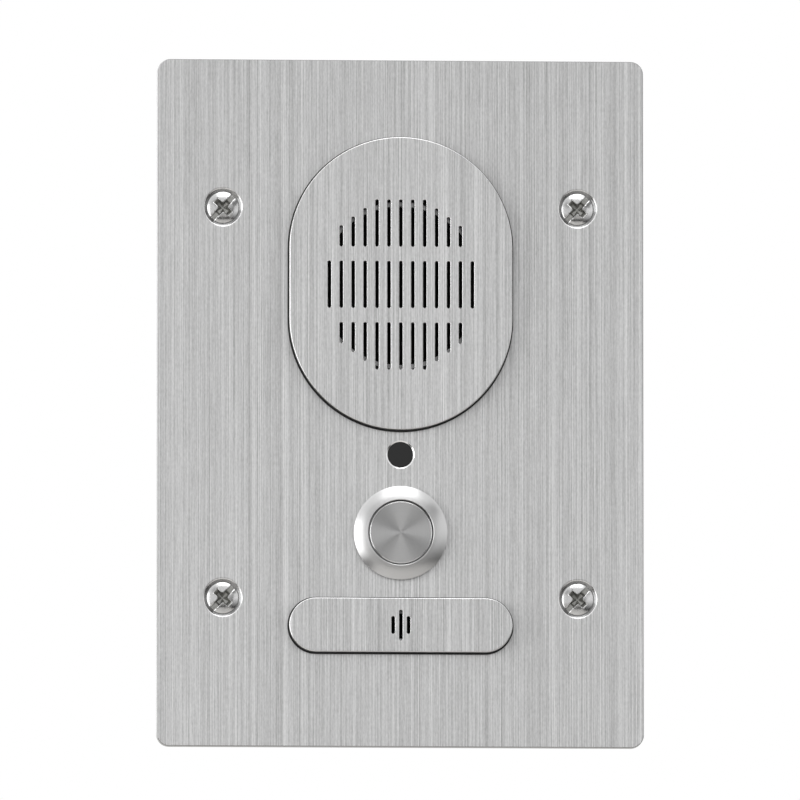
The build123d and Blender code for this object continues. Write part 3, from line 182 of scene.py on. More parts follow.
# %% Three white panels
def tent_matrix(distance, off_axis, clock):
    """A place in the tent, turned to look at the plate along its -Z axis with its Y axis outwards.

    It is given by its distance, its degrees away from straight in front, and the hour that it lies at.
    """
    tilt = math.radians(off_axis)
    turn = math.radians(30 * clock)
    away = Vector((math.sin(tilt) * math.sin(turn), -math.cos(tilt), math.sin(tilt) * math.cos(turn)))
    outwards = Vector((math.cos(tilt) * math.sin(turn), math.sin(tilt), math.cos(tilt) * math.cos(turn)))
    turned = Matrix((outwards.cross(away), outwards, away)).transposed().to_4x4()
    return Matrix.Translation(away * distance) @ turned


def add_panel(name, place, width, height, radiance):
    """An area lamp that faces the plate. Its watts follow from its area and the radiance wanted."""
    lamp = bpy.data.lights.new(name, "AREA")
    lamp.shape = "RECTANGLE"
    lamp.size = width
    lamp.size_y = height
    lamp.energy = 4 * width * height * radiance
    panel = bpy.data.objects.new(name, lamp)
    panel.matrix_world = place
    panel.visible_camera = False
    scene.collection.objects.link(panel)


# Distance in metres, degrees off the axis, hour, width and height in metres, and radiance
panels = {
    "top_panel": (1.0, 65, 12.1, 0.62, 1.05, 1.45),
    "left_panel": (1.0, 65, 8.9, 0.72, 1.05, 1.5),
    "corner_panel": (1.0, 90, 10.5, 1.1, 0.45, 1.3),
}
for name, (distance, off_axis, hour, width, height, radiance) in panels.items():
    add_panel(name, tent_matrix(distance, off_axis, hour), width, height, radiance)

# %% A pale floor
floor_drop = 0.50
floor_radius = 12.0
floor_sides = 96
floor_mesh = bpy.data.meshes.new("floor")
shape = bmesh.new()
bmesh.ops.create_circle(shape, cap_ends=True, segments=floor_sides, radius=floor_radius)
bmesh.ops.translate(shape, vec=(0, 0, -floor_drop), verts=shape.verts)
shape.to_mesh(floor_mesh)
shape.free()
pale_paper, _, _ = new_finish("pale_paper", Base_Color=linear("#ebe9e6"), Roughness=0.9)
floor_mesh.materials.append(pale_paper)
floor = bpy.data.objects.new("floor", floor_mesh)
scene.collection.objects.link(floor)
print(f"floor {floor_drop / MM:.0f} mm below the origin")

# %% What the cards give to reflections
def glowing(name, strength):
    """A card's finish that gives an even light, with its tree and its shader."""
    return new_finish(name, Base_Color=linear("#000000"), Roughness=1.0,
                      Emission_Color=linear("#ffffff"), Emission_Strength=strength)


def grade(tree, shader, value, ends, strengths, curve):
    """Changes a card's light from one strength to the other between two ends of a value in metres."""
    light = add(tree, "ShaderNodeMapRange", {
        "Value": value, "From Min": ends[0], "From Max": ends[1],
        "To Min": strengths[0], "To Max": strengths[1],
    }, interpolation_type=curve)
    tree.links.new(light.outputs[0], shader.inputs["Emission Strength"])


# The room is lit from the upper left, and falls off towards the lower right
room, tree, shader = glowing("dim_room", 0.8)
spread = add(tree, "ShaderNodeSeparateXYZ", {0: add(tree, "ShaderNodeTexCoord").outputs["Object"]})
leaning = add(tree, "ShaderNodeMath", {0: spread.outputs["Z"], 1: spread.outputs["X"]},
              operation="SUBTRACT")
grade(tree, shader, leaning.outputs[0], (-1.7, -0.1), (0.22, 0.8), "SMOOTHSTEP")
# The sides of the tent darken towards the table
side, tree, shader = glowing("tent_side", 0.97)
spread = add(tree, "ShaderNodeSeparateXYZ", {0: add(tree, "ShaderNodeTexCoord").outputs["Object"]})
grade(tree, shader, spread.outputs["Z"], (-0.29, 0.01), (0.02, 0.97), "LINEAR")
grey_card, _, _ = glowing("grey_card", 0.2)
soft_card, _, _ = glowing("soft_card", 0.5)
black_card, _, _ = new_finish("black_card", Base_Color=linear("#050505"), Roughness=1.0)
print("card finishes:", [finish.name for finish in (room, side, grey_card, soft_card, black_card)])

# %% Hang the cards
def add_card(name, place, width, height, material):
    """A card of the studio that faces the plate, and is no part of the intercom."""
    card_mesh = bpy.data.meshes.new(name)
    shape = bmesh.new()
    bmesh.ops.create_grid(shape, size=0.5)
    bmesh.ops.transform(shape, matrix=place @ Matrix.Diagonal((width, height, 1, 1)), verts=shape.verts)
    shape.to_mesh(card_mesh)
    shape.free()
    card_mesh.materials.append(material)
    card = bpy.data.objects.new(name, card_mesh)
    scene.collection.objects.link(card)
    card.visible_camera = False
    card.visible_diffuse = False
    card.visible_shadow = False


# Distance in metres, degrees off the axis, hour, width and height in metres, and finish
cards = {
    "room_card": (3.2, 0, 12, 5.2, 5.2, room),
    "right_side_card": (0.7, 52, 3.45, 0.56, 0.62, side),
    "left_side_card": (0.7, 58, 7.6, 0.2, 0.45, side),
    "grey_right_card": (0.6, 46, 1.8, 0.12, 0.34, grey_card),
    "soft_left_card": (0.85, 29, 10.5, 0.2, 0.26, soft_card),
    "table_edge_card": (0.85, 21, 6, 0.7, 0.1, black_card),
}
for name, (distance, off_axis, hour, width, height, finish) in cards.items():
    add_card(name, tent_matrix(distance, off_axis, hour), width, height, finish)
print("cards:", list(cards))

# %% [markdown]
# ## Brushed stainless steel
# The plate and the covers are sheet that was drawn under a belt, so fine scratches run up and down. Across
# them the metal scatters light widely, along them it hardly does, and each scratch is a little lighter or
# darker than the next. Five stretched noises give the scratches, from nicks a millimetre long to lines
# longer than the plate, and an anisotropic shader spreads the light across them. Real scratches are a few
# hundredths of a millimetre apart. They are drawn about a fifth of a millimetre wide, so that they show.
# The cut rims have none. The plate's rim is painted pale as painted light, and the covers' rims are painted
# near black as painted shade. The rounded edges are painted paler as a painted highlight, and the plate's
# countersinks darker as painted shade.

# %% Make the brushed finish
# Width and length of the scratches in millimetres, and the share of each layer in the pattern
scratch_layers = (
    (0.19, 380.0, 0.40), (0.24, 32.0, 0.18), (0.24, 5.0, 0.16), (0.3, 1.0, 0.17), (2.4, 250.0, 0.09),
)
# The band that most of the pattern's values lie in, and what it does to the tone and the roughness
streak_low, streak_high = 0.35, 0.65
tone_low, tone_high = 0.63, 1.37
scratch_rough, scratch_smooth = 0.41, 0.33
wall_roughness, edge_roughness = 0.45, 0.2
scratch_depth = 0.02 * MM
# How squarely a surface faces the front where each part of the sheet goes over into the next
wall_to_sink, sink_to_slant, slant_to_face = (0.2, 0.5), (0.71, 0.8), (0.85, 0.92)


def brushed_steel(name, face_hex, slant_highlight_hex, painted_sink_hex, painted_wall_hex, shift):
    """Brushed sheet, with scratches along Z. The shift gives each sheet scratches of its own.

    The slants are its rounded edges, the sinks its countersinks and the walls its cut rim. Their colours are
    painted light and shade: a pale slant is a painted highlight, a dark sink or wall is painted shade, and a
    pale wall is painted light.
    """
    material, tree, shader = new_finish(name, Metallic=1.0, Anisotropic=0.75)
    place = add(tree, "ShaderNodeTexCoord").outputs["Object"]
    streak = None
    for width, length, weight in scratch_layers:
        stretched = add(tree, "ShaderNodeMapping", {
            "Vector": place,
            "Location": (shift, shift, shift),
            "Scale": (1 / (width * MM), 1 / (width * MM), 1 / (length * MM)),
        })
        noise = add(tree, "ShaderNodeTexNoise", {
            "Vector": stretched.outputs[0], "Scale": 1.0, "Detail": 1.0, "Roughness": 0.6,
        })
        share = add(tree, "ShaderNodeMath", {0: noise.outputs[0], 1: weight}, operation="MULTIPLY")
        if streak is None:
            streak = share.outputs[0]
        else:
            streak = add(tree, "ShaderNodeMath", {0: streak, 1: share.outputs[0]}).outputs[0]
    tone = add(tree, "ShaderNodeMapRange", {
        "Value": streak, "From Min": streak_low, "From Max": streak_high,
        "To Min": tone_low, "To Max": tone_high,
    }, clamp=False)
    streaked = add(tree, "ShaderNodeVectorMath", {0: linear(face_hex)[:3], "Scale": tone.outputs[0]},
                   operation="SCALE")
    facing = add(tree, "ShaderNodeSeparateXYZ", {0: add(tree, "ShaderNodeNewGeometry").outputs["Normal"]})
    flat = add(tree, "ShaderNodeMath", {0: facing.outputs["Y"]}, operation="ABSOLUTE")
    uncut, unsunk, face = (
        add(tree, "ShaderNodeMapRange", {
            "Value": flat.outputs[0], "From Min": first, "From Max": last,
        }).outputs[0]
        for first, last in (wall_to_sink, sink_to_slant, slant_to_face)
    )
    # Rim, sink and slant colours go over the face: painted shade where dark, painted light and painted
    # highlight where pale
    metal = linear(painted_wall_hex)
    for part, colour in ((uncut, linear(painted_sink_hex)), (unsunk, linear(slant_highlight_hex)),
                         (face, streaked.outputs[0])):
        metal = add(tree, "ShaderNodeMix", {0: part, 6: metal, 7: colour}, data_type="RGBA").outputs[2]
    gloss = add(tree, "ShaderNodeMapRange", {
        "Value": streak, "From Min": streak_low, "From Max": streak_high,
        "To Min": scratch_rough, "To Max": scratch_smooth,
    })
    edge_gloss = add(tree, "ShaderNodeMapRange", {
        "Value": uncut, "To Min": wall_roughness, "To Max": edge_roughness,
    })
    gloss = add(tree, "ShaderNodeMix", {0: face, 2: edge_gloss.outputs[0], 3: gloss.outputs[0]})
    relief = add(tree, "ShaderNodeBump", {"Height": streak, "Strength": 0.12, "Distance": scratch_depth})
    across = add(tree, "ShaderNodeCombineXYZ", {0: 1.0})
    tree.links.new(metal, shader.inputs["Base Color"])
    tree.links.new(gloss.outputs[0], shader.inputs["Roughness"])
    tree.links.new(relief.outputs[0], shader.inputs["Normal"])
    tree.links.new(across.outputs[0], shader.inputs["Tangent"])
    return material


print("brushed finish:", len(scratch_layers), "layers of scratches")

# %% Dress the sheets
brushed_hex = "#cdcdcd"
pattern_shift = 37.0
# The painted light and shade of the slants, the sinks and the walls of each sheet
# Covers: the pale slants and sinks are a painted highlight, and the near black walls are painted shade
cover_highlight_and_shade = ("#e0e0e0", "#e0e0e0", "#1c1c1c")
sheets = {
    # Plate: the pale slants are a painted highlight, the darker countersinks painted shade, and the pale wall
    # painted light
    "front_plate": ("#f0f0f0", "#989898", "#dcdcdc"),
    "speaker_cover": cover_highlight_and_shade,
    "microphone_cover": cover_highlight_and_shade,
}
for number, (sheet, edges) in enumerate(sheets.items()):
    finish = brushed_steel(f"brushed_stainless_{sheet}", brushed_hex, *edges, pattern_shift * number)
    dress(finish, sheet)
print("brushed sheets:", list(sheets))

# %% [markdown]
# ## The push button
# The bezel is turned from bar and fine polished, so it mirrors the tent in soft shapes. The cap's face is
# left as the lathe made it, with fine rings that spread light outwards from the middle and give the bright
# and dark wedges of spun metal. Real rings are under a tenth of a millimetre apart. They are drawn about a
# quarter of a millimetre apart, so that they show.

# %% Polished bezel and spun cap
polished_hex = "#cdcdcd"
polished_roughness = 0.25
bevel_blend = 0.04
# The band that most values of a noise texture lie in
noise_low, noise_high = 0.3, 0.7


def turned_steel(name, face_hex, roughness, anisotropy, centre, ring_mm, ring_contrast, bevel_facing):
    """Turned steel with rings about an axis along Y, through the centre given.

    Its face is as rough as given. Slopes that face the front less than bevel_facing are polished.
    """
    material, tree, shader = new_finish(name, Metallic=1.0, Anisotropic=anisotropy)
    place = add(tree, "ShaderNodeTexCoord").outputs["Object"]
    outwards = add(tree, "ShaderNodeVectorMath", {0: place, 1: centre}, operation="SUBTRACT")
    radial = add(tree, "ShaderNodeVectorMath", {0: outwards.outputs[0], 1: (1.0, 0.0, 1.0)},
                 operation="MULTIPLY")
    radius = add(tree, "ShaderNodeVectorMath", {0: radial.outputs[0]}, operation="LENGTH")
    along = add(tree, "ShaderNodeVectorMath", {0: radial.outputs[0]}, operation="NORMALIZE")
    rings = add(tree, "ShaderNodeTexNoise", {
        "W": radius.outputs["Value"], "Scale": 1 / (ring_mm * MM), "Detail": 2.0, "Roughness": 0.6,
    }, noise_dimensions="1D")
    tone = add(tree, "ShaderNodeMapRange", {
        "Value": rings.outputs[0], "From Min": noise_low, "From Max": noise_high,
        "To Min": 1 - ring_contrast, "To Max": 1 + ring_contrast,
    })
    metal = add(tree, "ShaderNodeVectorMath", {0: linear(face_hex)[:3], "Scale": tone.outputs[0]},
                operation="SCALE")
    facing = add(tree, "ShaderNodeSeparateXYZ", {0: add(tree, "ShaderNodeNewGeometry").outputs["Normal"]})
    flat = add(tree, "ShaderNodeMath", {0: facing.outputs["Y"]}, operation="ABSOLUTE")
    face = add(tree, "ShaderNodeMapRange", {
        "Value": flat.outputs[0], "From Min": bevel_facing, "From Max": bevel_facing + bevel_blend,
    })
    metal = add(tree, "ShaderNodeMix", {
        0: face.outputs[0], 6: linear(polished_hex), 7: metal.outputs[0],
    }, data_type="RGBA")
    gloss = add(tree, "ShaderNodeMix", {0: face.outputs[0], 2: polished_roughness, 3: roughness})
    relief = add(tree, "ShaderNodeBump", {
        "Height": rings.outputs[0], "Strength": 0.1, "Distance": ring_mm * MM / 10,
    })
    tree.links.new(metal.outputs[2], shader.inputs["Base Color"])
    tree.links.new(gloss.outputs[0], shader.inputs["Roughness"])
    tree.links.new(relief.outputs[0], shader.inputs["Normal"])
    tree.links.new(along.outputs[0], shader.inputs["Tangent"])
    return material


bezel_low, bezel_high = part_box("button_bezel")
button_centre = (0.0, 0.0, (bezel_low.z + bezel_high.z) / 2)
# Soft mirror of the tent, with hardly a ring to be seen
dress(turned_steel("polished_bezel_steel", polished_hex, roughness=0.3, anisotropy=0.3, centre=button_centre,
                   ring_mm=0.25, ring_contrast=0.02, bevel_facing=0.5), "button_bezel")
# Wedges of light about the middle, and a polished edge
dress(turned_steel("spun_cap_steel", "#acacac", roughness=0.34, anisotropy=0.94, centre=button_centre,
                   ring_mm=0.22, ring_contrast=0.03, bevel_facing=0.94), "button_cap")
print("button centre at z", round(button_centre[2] / MM, 1), "mm")

# %% [markdown]
# ## Plated and bare metal
# Nuts, clamps, spacers and the jack's shield are zinc or nickel plated steel. Plating is never quite even: it
# has patches a few millimetres wide that are a little duller. Springs, brass contacts, the aluminium cans
# and the polished screws have their own colours with the same kind of unevenness, so one function does.

# %% One function for plain metals
dull_tone, bright_tone = 0.92, 1.05
least_roughness = 0.05


def plain_metal(name, hex_colour, roughness, patch_mm, spread=0.08):
    """Metal with duller patches, whose roughness differs by the spread."""
    material, tree, shader = new_finish(name, Metallic=1.0)
    place = add(tree, "ShaderNodeTexCoord").outputs["Object"]
    patches = add(tree, "ShaderNodeTexNoise", {
        "Vector": place, "Scale": 1 / (patch_mm * MM), "Detail": 4.0, "Roughness": 0.65,
    })
    tone = add(tree, "ShaderNodeMapRange", {
        "Value": patches.outputs[0], "From Min": noise_low, "From Max": noise_high,
        "To Min": dull_tone, "To Max": bright_tone,
    })
    metal = add(tree, "ShaderNodeVectorMath", {0: linear(hex_colour)[:3], "Scale": tone.outputs[0]},
                operation="SCALE")
    gloss = add(tree, "ShaderNodeMapRange", {
        "Value": patches.outputs[0], "From Min": noise_low, "From Max": noise_high,
        "To Min": roughness + spread, "To Max": max(least_roughness, roughness - spread),
    })
    tree.links.new(metal.outputs[0], shader.inputs["Base Color"])
    tree.links.new(gloss.outputs[0], shader.inputs["Roughness"])
    return material


print("plain metals: tone", dull_tone, "to", bright_tone)

# %% [markdown]
# ## The mounting screws
# Raised countersunk screws with a combined drive: a cross with a slot through it. The head is cold formed
# and polished, the recess stays dull, and the shank has a rolled thread. One screw is made about the origin
# as a turned mesh whose radius follows the thread's helix, a Boolean cuts the tapered drive out of its head,
# and a Geometry Nodes tree sets it down at the four corners.

# %% A turned, threaded blank
rows_per_turn = 6
runout_rows = 4


def turned_blank(rows, segments, pitch, depth):
    """A closed mesh about the Y axis. Each row has a radius, a height and the share of thread cut in it."""
    shape = bmesh.new()
    rings = []
    for radius, height, thread in rows:
        if radius == 0:
            rings.append([shape.verts.new((0, -height, 0))])
            continue
        ring = []
        for step in range(segments):
            share = step / segments
            wave = abs(((height / pitch + share) % 1) * 2 - 1) if thread else 0
            reach = radius - thread * depth * wave
            angle = 2 * math.pi * share
            ring.append(shape.verts.new((reach * math.cos(angle), -height, reach * math.sin(angle))))
        rings.append(ring)
    for first, second in zip(rings, rings[1:]):
        for step in range(segments):
            after = (step + 1) % segments
            corners = [first[step % len(first)], second[step % len(second)]]
            if len(second) > 1:
                corners.append(second[after])
            if len(first) > 1:
                corners.append(first[after])
            shape.faces.new(corners)
    bmesh.ops.recalc_face_normals(shape, faces=shape.faces)
    return shape


def thread_share(step, steps):
    """How deep the thread is at one of its rows: it runs in over a turn, and out before the tip."""
    return min(1.0, step / rows_per_turn, (steps - step) / runout_rows)


print("blanks have", rows_per_turn, "rows for each turn of thread")

# %% The blank of a mounting screw
head_low, head_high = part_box("mounting_screws")
screw_spacing_x = 83.34 * MM
screw_spacing_z = 92.08 * MM
screw_top = -head_low.y
screw_tip = -head_high.y
head_radius = (head_high.x - head_low.x - screw_spacing_x) / 2
seat_height = 3.8 * MM
dome_radius = (head_radius**2 + (screw_top - seat_height)**2) / (2 * (screw_top - seat_height))
dome_reach = 3.45 * MM
dome_steps = 10
thread_radius = 2.0 * MM
thread_pitch = 0.7 * MM
thread_depth = 0.38 * MM
neck_radius = 1.6 * MM
tip_chamfer = 0.6 * MM
screw_segments = 48
# Radius, and height over the seat, of the head's rolled rim and of its cone's end, in millimetres
rim_profile = ((3.62, 0.08), (3.74, 0.02), (3.8, -0.04), (3.81, -0.07), (neck_radius / MM, -2.25))

rows = [(0, screw_top, 0)]
for step in range(1, dome_steps + 1):
    reach = dome_reach * step / dome_steps
    rows.append((reach, screw_top - dome_radius + math.sqrt(dome_radius**2 - reach**2), 0))
for reach, height in rim_profile:
    rows.append((reach * MM, seat_height + height * MM, 0))
rows.append((neck_radius, 0, 0))
thread_rows = round(-screw_tip / thread_pitch * rows_per_turn)
for step in range(thread_rows + 1):
    height = screw_tip * step / thread_rows
    radius = thread_radius - tip_chamfer * max(0, 1 - (height - screw_tip) / tip_chamfer)
    rows.append((radius, height, thread_share(step, thread_rows)))
rows.append((0, screw_tip, 0))
blank = turned_blank(rows, screw_segments, thread_pitch, thread_depth)
print(f"screw blank: {len(blank.faces)} faces, {(screw_top - screw_tip) / MM:.1f} mm long")

# %% A tapered drive: the cross and the slot through it
drive_turn = math.radians(47.0)
corner_steps = 6
# Reach, half width, corner radius and height over the head's top in millimetres, from mouth to tip
cross_levels = ((2.8, 0.76, 0.5, 0.4), (1.5, 0.42, 0.3, -1.7), (0.4, 0.14, 0.08, -2.1))
# Half length, half width and height over the head's top in millimetres
slot_levels = ((6, 0.62, 0.4), (6, 0.52, -0.95))


def cross_outline(reach, half_width, corner):
    """Points round a cross whose inner corners are rounded."""
    points = []
    for arm in range(4):
        turn = Matrix.Rotation(arm * math.pi / 2, 2)
        outline = [(reach, -half_width), (reach, half_width)]
        for step in range(corner_steps):
            angle = math.radians(270 - 90 * step / (corner_steps - 1))
            outline.append((half_width + corner + corner * math.cos(angle),
                            half_width + corner + corner * math.sin(angle)))
        points += [turn @ Vector(point) for point in outline]
    return points


def box_outline(half_length, half_width):
    """The corners of an oblong."""
    return [Vector(corner) for corner in ((-half_length, -half_width), (half_length, -half_width),
                                          (half_length, half_width), (-half_length, half_width))]


def lofted_cutter(outline, levels, top):
    """A closed mesh through levels of an outline. Each level has the outline's sizes and its height."""
    shape = bmesh.new()
    rings = []
    for *sizes, rise in levels:
        points = outline(*(size * MM for size in sizes))
        height = top + rise * MM
        rings.append([shape.verts.new((point.x, -height, point.y)) for point in points])
    for first, second in zip(rings, rings[1:]):
        for step in range(len(first)):
            after = (step + 1) % len(first)
            shape.faces.new((first[step], first[after], second[after], second[step]))
    shape.faces.new(rings[0])
    shape.faces.new(rings[-1])
    bmesh.ops.recalc_face_normals(shape, faces=shape.faces)
    bmesh.ops.rotate(shape, matrix=Matrix.Rotation(-drive_turn, 3, "Y"), verts=shape.verts)
    return shape


cross = lofted_cutter(cross_outline, cross_levels, screw_top)
slot = lofted_cutter(box_outline, slot_levels, screw_top)
print(f"drive: {len(cross.faces)} faces for the cross, {len(slot.faces)} for the slot")

# %% Helpers that make, cut and smooth a piece
merge_within = 0.002 * MM


def new_piece(name, shape, *materials):
    """An object at the origin from a bmesh, which is freed."""
    piece_mesh = bpy.data.meshes.new(name)
    shape.to_mesh(piece_mesh)
    shape.free()
    for material in materials:
        piece_mesh.materials.append(material)
    piece = bpy.data.objects.new(name, piece_mesh)
    scene.collection.objects.link(piece)
    return piece


def bake(piece):
    """Turns a piece's modifiers into its mesh."""
    graph = bpy.context.evaluated_depsgraph_get()
    baked = bpy.data.meshes.new_from_object(piece.evaluated_get(graph), depsgraph=graph)
    piece.modifiers.clear()
    old = piece.data
    piece.data = baked
    bpy.data.meshes.remove(old)


def cut(piece, shape, recess):
    """Cuts a shape out of a piece. The cut faces take the recess finish."""
    cutter = new_piece(piece.name + "_cutter", shape, recess)
    knife = piece.modifiers.new("cut", "BOOLEAN")
    knife.operation = "DIFFERENCE"
    knife.solver = "EXACT"
    knife.material_mode = "TRANSFER"
    knife.object = cutter
    bake(piece)
    bpy.data.objects.remove(cutter)


def roll_edges(piece, width):
    """Bevels the edges between a head and its recess, which the punch rolls over."""
    shape = bmesh.new()
    shape.from_mesh(piece.data)
    rims = [edge for edge in shape.edges if len({face.material_index for face in edge.link_faces}) > 1]
    bmesh.ops.bevel(shape, geom=rims, offset=width, segments=2, profile=0.5, affect="EDGES", material=0)
    bmesh.ops.remove_doubles(shape, verts=shape.verts, dist=merge_within)
    shape.to_mesh(piece.data)
    shape.free()


def soften(piece, degrees):
    """Smooth shading, with sharp edges where faces meet at more than an angle."""
    piece.data.shade_smooth()
    piece.data.set_sharp_from_angle(angle=math.radians(degrees))


print(f"doubles merge within {merge_within / MM} mm")

# %% One screw: polished head, dull recess with painted shade
rolled_width = 0.2 * MM
# Bright, with the slight waviness of a cold formed head
screw_polish = plain_metal("polished_screw_steel", "#d3d3d3", 0.16, 0.9, 0.05)
# Dull as the punch left it, and painted darker as shade in the recess
screw_recess_shade = plain_metal("dull_screw_recess", "#a5a5a2", 0.42, 0.5, 0.1)
dress(screw_polish, "mounting_screws")
screw = new_piece("mounting_screws_visual", blank, screw_polish)
cut(screw, slot, screw_recess_shade)
cut(screw, cross, screw_recess_shade)
roll_edges(screw, rolled_width)
print(f"one screw: {len(screw.data.polygons)} faces, {len(screw.data.materials)} finishes")

# %% A Geometry Nodes tree that repeats a piece in columns and rows
def new_tree(name, **sockets):
    """A tree with named inputs, given with _ for spaces, and the sockets that bring them in."""
    tree = bpy.data.node_groups.new(name, "GeometryNodeTree")
    tree.is_modifier = True
    tree.interface.new_socket("Geometry", in_out="INPUT", socket_type="NodeSocketGeometry")
    for socket, kind in sockets.items():
        tree.interface.new_socket(socket.replace("_", " "), in_out="INPUT", socket_type="NodeSocket" + kind)
    tree.interface.new_socket("Geometry", in_out="OUTPUT", socket_type="NodeSocketGeometry")
    return tree, add(tree, "NodeGroupInput").outputs


def run_tree(piece, tree, **values):
    """Runs a tree on a piece, with the tree's named inputs, and keeps the result as its mesh."""
    modifier = piece.modifiers.new("tree", "NODES")
    modifier.node_group = tree
    for item in tree.interface.items_tree:
        given_name = item.name.replace(" ", "_")
        if item.in_out == "INPUT" and given_name in values:
            modifier[item.identifier] = values[given_name]
    bake(piece)


def new_array():
    """A tree that sets a piece down in columns along X and rows along Z.

    The finish goes on the faces of the piece's first slot, and recesses keep their own.
    """
    tree, given = new_tree("columns_and_rows", Columns="Int", Rows="Int", Width="Float", Height="Float",
                           Centre="Vector", Finish="Material")
    grid = add(tree, "GeometryNodeMeshGrid", {
        "Size X": given["Width"], "Size Y": given["Height"],
        "Vertices X": given["Columns"], "Vertices Y": given["Rows"],
    })
    upright = add(tree, "GeometryNodeTransform", {
        "Geometry": grid.outputs["Mesh"], "Translation": given["Centre"],
        "Rotation": (math.pi / 2, 0, 0),
    })
    placed = add(tree, "GeometryNodeInstanceOnPoints", {
        "Points": upright.outputs[0], "Instance": given["Geometry"],
    })
    real = add(tree, "GeometryNodeRealizeInstances", {"Geometry": placed.outputs[0]})
    slot_number = add(tree, "GeometryNodeInputMaterialIndex")
    body = add(tree, "FunctionNodeCompare", {2: slot_number.outputs[0], 3: 0},
               data_type="INT", operation="EQUAL")
    finished = add(tree, "GeometryNodeSetMaterial", {
        "Geometry": real.outputs[0], "Selection": body.outputs[0], "Material": given["Finish"],
    })
    add(tree, "NodeGroupOutput", {"Geometry": finished.outputs[0]})
    return tree


array = new_array()
print("array tree:", [item.name for item in array.interface.items_tree if item.in_out == "INPUT"])

# %% Four screws at the corners
screw_sharp_degrees = 28
array_centre = (0.0, 0.0, 0.0)
run_tree(screw, array, Columns=2, Rows=2, Width=screw_spacing_x, Height=screw_spacing_z,
         Centre=array_centre, Finish=screw_polish)
soften(screw, screw_sharp_degrees)
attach(screw, "station")
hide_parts("mounting_screws")
print(f"four screws: {len(screw.data.polygons)} faces, {[m.name for m in screw.data.materials]}")

# %% [markdown]
# ## The screws of the housing
# Four long pan head screws clamp the housing to the plate. They are zinc plated, with a plain cross recess,
# and sit at the bottom of deep holes in the housing's corners. The same turned blank, cutter and tree make
# them, with the head towards the back.

# %% The blank of a pan head screw
screws_low, screws_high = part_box("housing_screws")
pan_top = -screws_high.y
pan_tip = -screws_low.y
pan_radius = 2.9 * MM
pan_height = 2.0 * MM
pan_flat_radius, pan_flat_drop = 1.6 * MM, 0.05 * MM
pan_round, pan_round_drop = 0.8 * MM, 0.2 * MM
pan_round_steps = 6
shank_radius = 1.5 * MM
pan_pitch = 0.5 * MM
pan_depth = 0.25 * MM
pan_chamfer = 0.2 * MM
# How far from the tip the plain shank ends and the thread starts, and how long the thread is
plain_end, thread_start, thread_length = 12 * MM, 11.8 * MM, 11.6 * MM
pan_segments = 40

rows = [(0, pan_top, 0), (pan_flat_radius, pan_top + pan_flat_drop, 0)]
for step in range(pan_round_steps + 1):
    angle = math.radians(90 * step / pan_round_steps)
    rows.append((pan_radius - pan_round + pan_round * math.sin(angle),
                 pan_top + pan_round_drop + pan_round * (1 - math.cos(angle)), 0))
rows += [(pan_radius, pan_top + pan_height, 0), (shank_radius, pan_top + pan_height, 0)]
rows.append((shank_radius, pan_tip - plain_end, 0))
pan_rows = round(thread_length / pan_pitch * rows_per_turn)
for step in range(pan_rows + 1):
    height = pan_tip - thread_start + thread_length * step / pan_rows
    rows.append((shank_radius, height, thread_share(step, pan_rows)))
rows += [(shank_radius - pan_chamfer, pan_tip, 0), (0, pan_tip, 0)]
pan_screw = new_piece("housing_screws_visual", turned_blank(rows, pan_segments, pan_pitch, pan_depth))
print(f"pan head screw: {(pan_tip - pan_top) / MM:.1f} mm long, {len(pan_screw.data.polygons)} faces")

# %% [markdown]
# ## Moulded plastic, rubber and foam
# The housing is injection moulded in charcoal plastic. The mould's cavity is spark eroded, so the surface has
# an even, fine grain that takes the shine off. Rubber seals, the foam gasket and the small plastic bodies
# have the same kind of finish with other grains. One function makes them: a grain that moves the gloss and
# the relief, and a slow change of tone. Grain below a pixel is drawn a few times coarser than it is.

# %% One function for moulded finishes
mottle_mm = 18
gloss_spread = 0.08


def moulded(name, hex_colour, roughness, grain_mm, relief_mm, mottle=0.06):
    """Plastic, rubber, foam or paper with a grain and a slight change of tone."""
    material, tree, shader = new_finish(name)
    place = add(tree, "ShaderNodeTexCoord").outputs["Object"]
    grain = add(tree, "ShaderNodeTexNoise", {
        "Vector": place, "Scale": 1 / (grain_mm * MM), "Detail": 3.0, "Roughness": 0.6,
    })
    patches = add(tree, "ShaderNodeTexNoise", {"Vector": place, "Scale": 1 / (mottle_mm * MM), "Detail": 2.0})
    tone = add(tree, "ShaderNodeMapRange", {
        "Value": patches.outputs[0], "From Min": noise_low, "From Max": noise_high,
        "To Min": 1 - mottle, "To Max": 1 + mottle,
    })
    colour = add(tree, "ShaderNodeVectorMath", {0: linear(hex_colour)[:3], "Scale": tone.outputs[0]},
                 operation="SCALE")
    gloss = add(tree, "ShaderNodeMapRange", {
        "Value": grain.outputs[0], "From Min": noise_low, "From Max": noise_high,
        "To Min": max(least_roughness, roughness - gloss_spread), "To Max": min(1.0, roughness + gloss_spread),
    })
    relief = add(tree, "ShaderNodeBump", {
        "Height": grain.outputs[0], "Strength": 0.6, "Distance": relief_mm * MM,
    })
    tree.links.new(colour.outputs[0], shader.inputs["Base Color"])
    tree.links.new(gloss.outputs[0], shader.inputs["Roughness"])
    tree.links.new(relief.outputs[0], shader.inputs["Normal"])
    return material


# Charcoal, even and matt, with a faint sparkle of grain
dress(moulded("grained_housing_abs", "#333436", 0.58, 0.32, 0.05), "rear_housing")
# Black, dull and smooth: the thin dark line round the covers
dress(moulded("black_seal_rubber", "#0e0e0e", 0.75, 0.5, 0.02), "wall_seal", "speaker_cover_seal",
      "microphone_cover_seal", "button_seal", "housing_seal", "microphone_boot", "speaker_surround")
# Open pores that swallow the light
dress(moulded("black_foam", "#1a1a1a", 0.95, 0.7, 0.2), "speaker_gasket")
# Half gloss black of small mouldings
dress(moulded("black_nylon", "#171717", 0.42, 0.25, 0.01), "switch_base", "network_jack", "board_chips",
      "network_transformer")
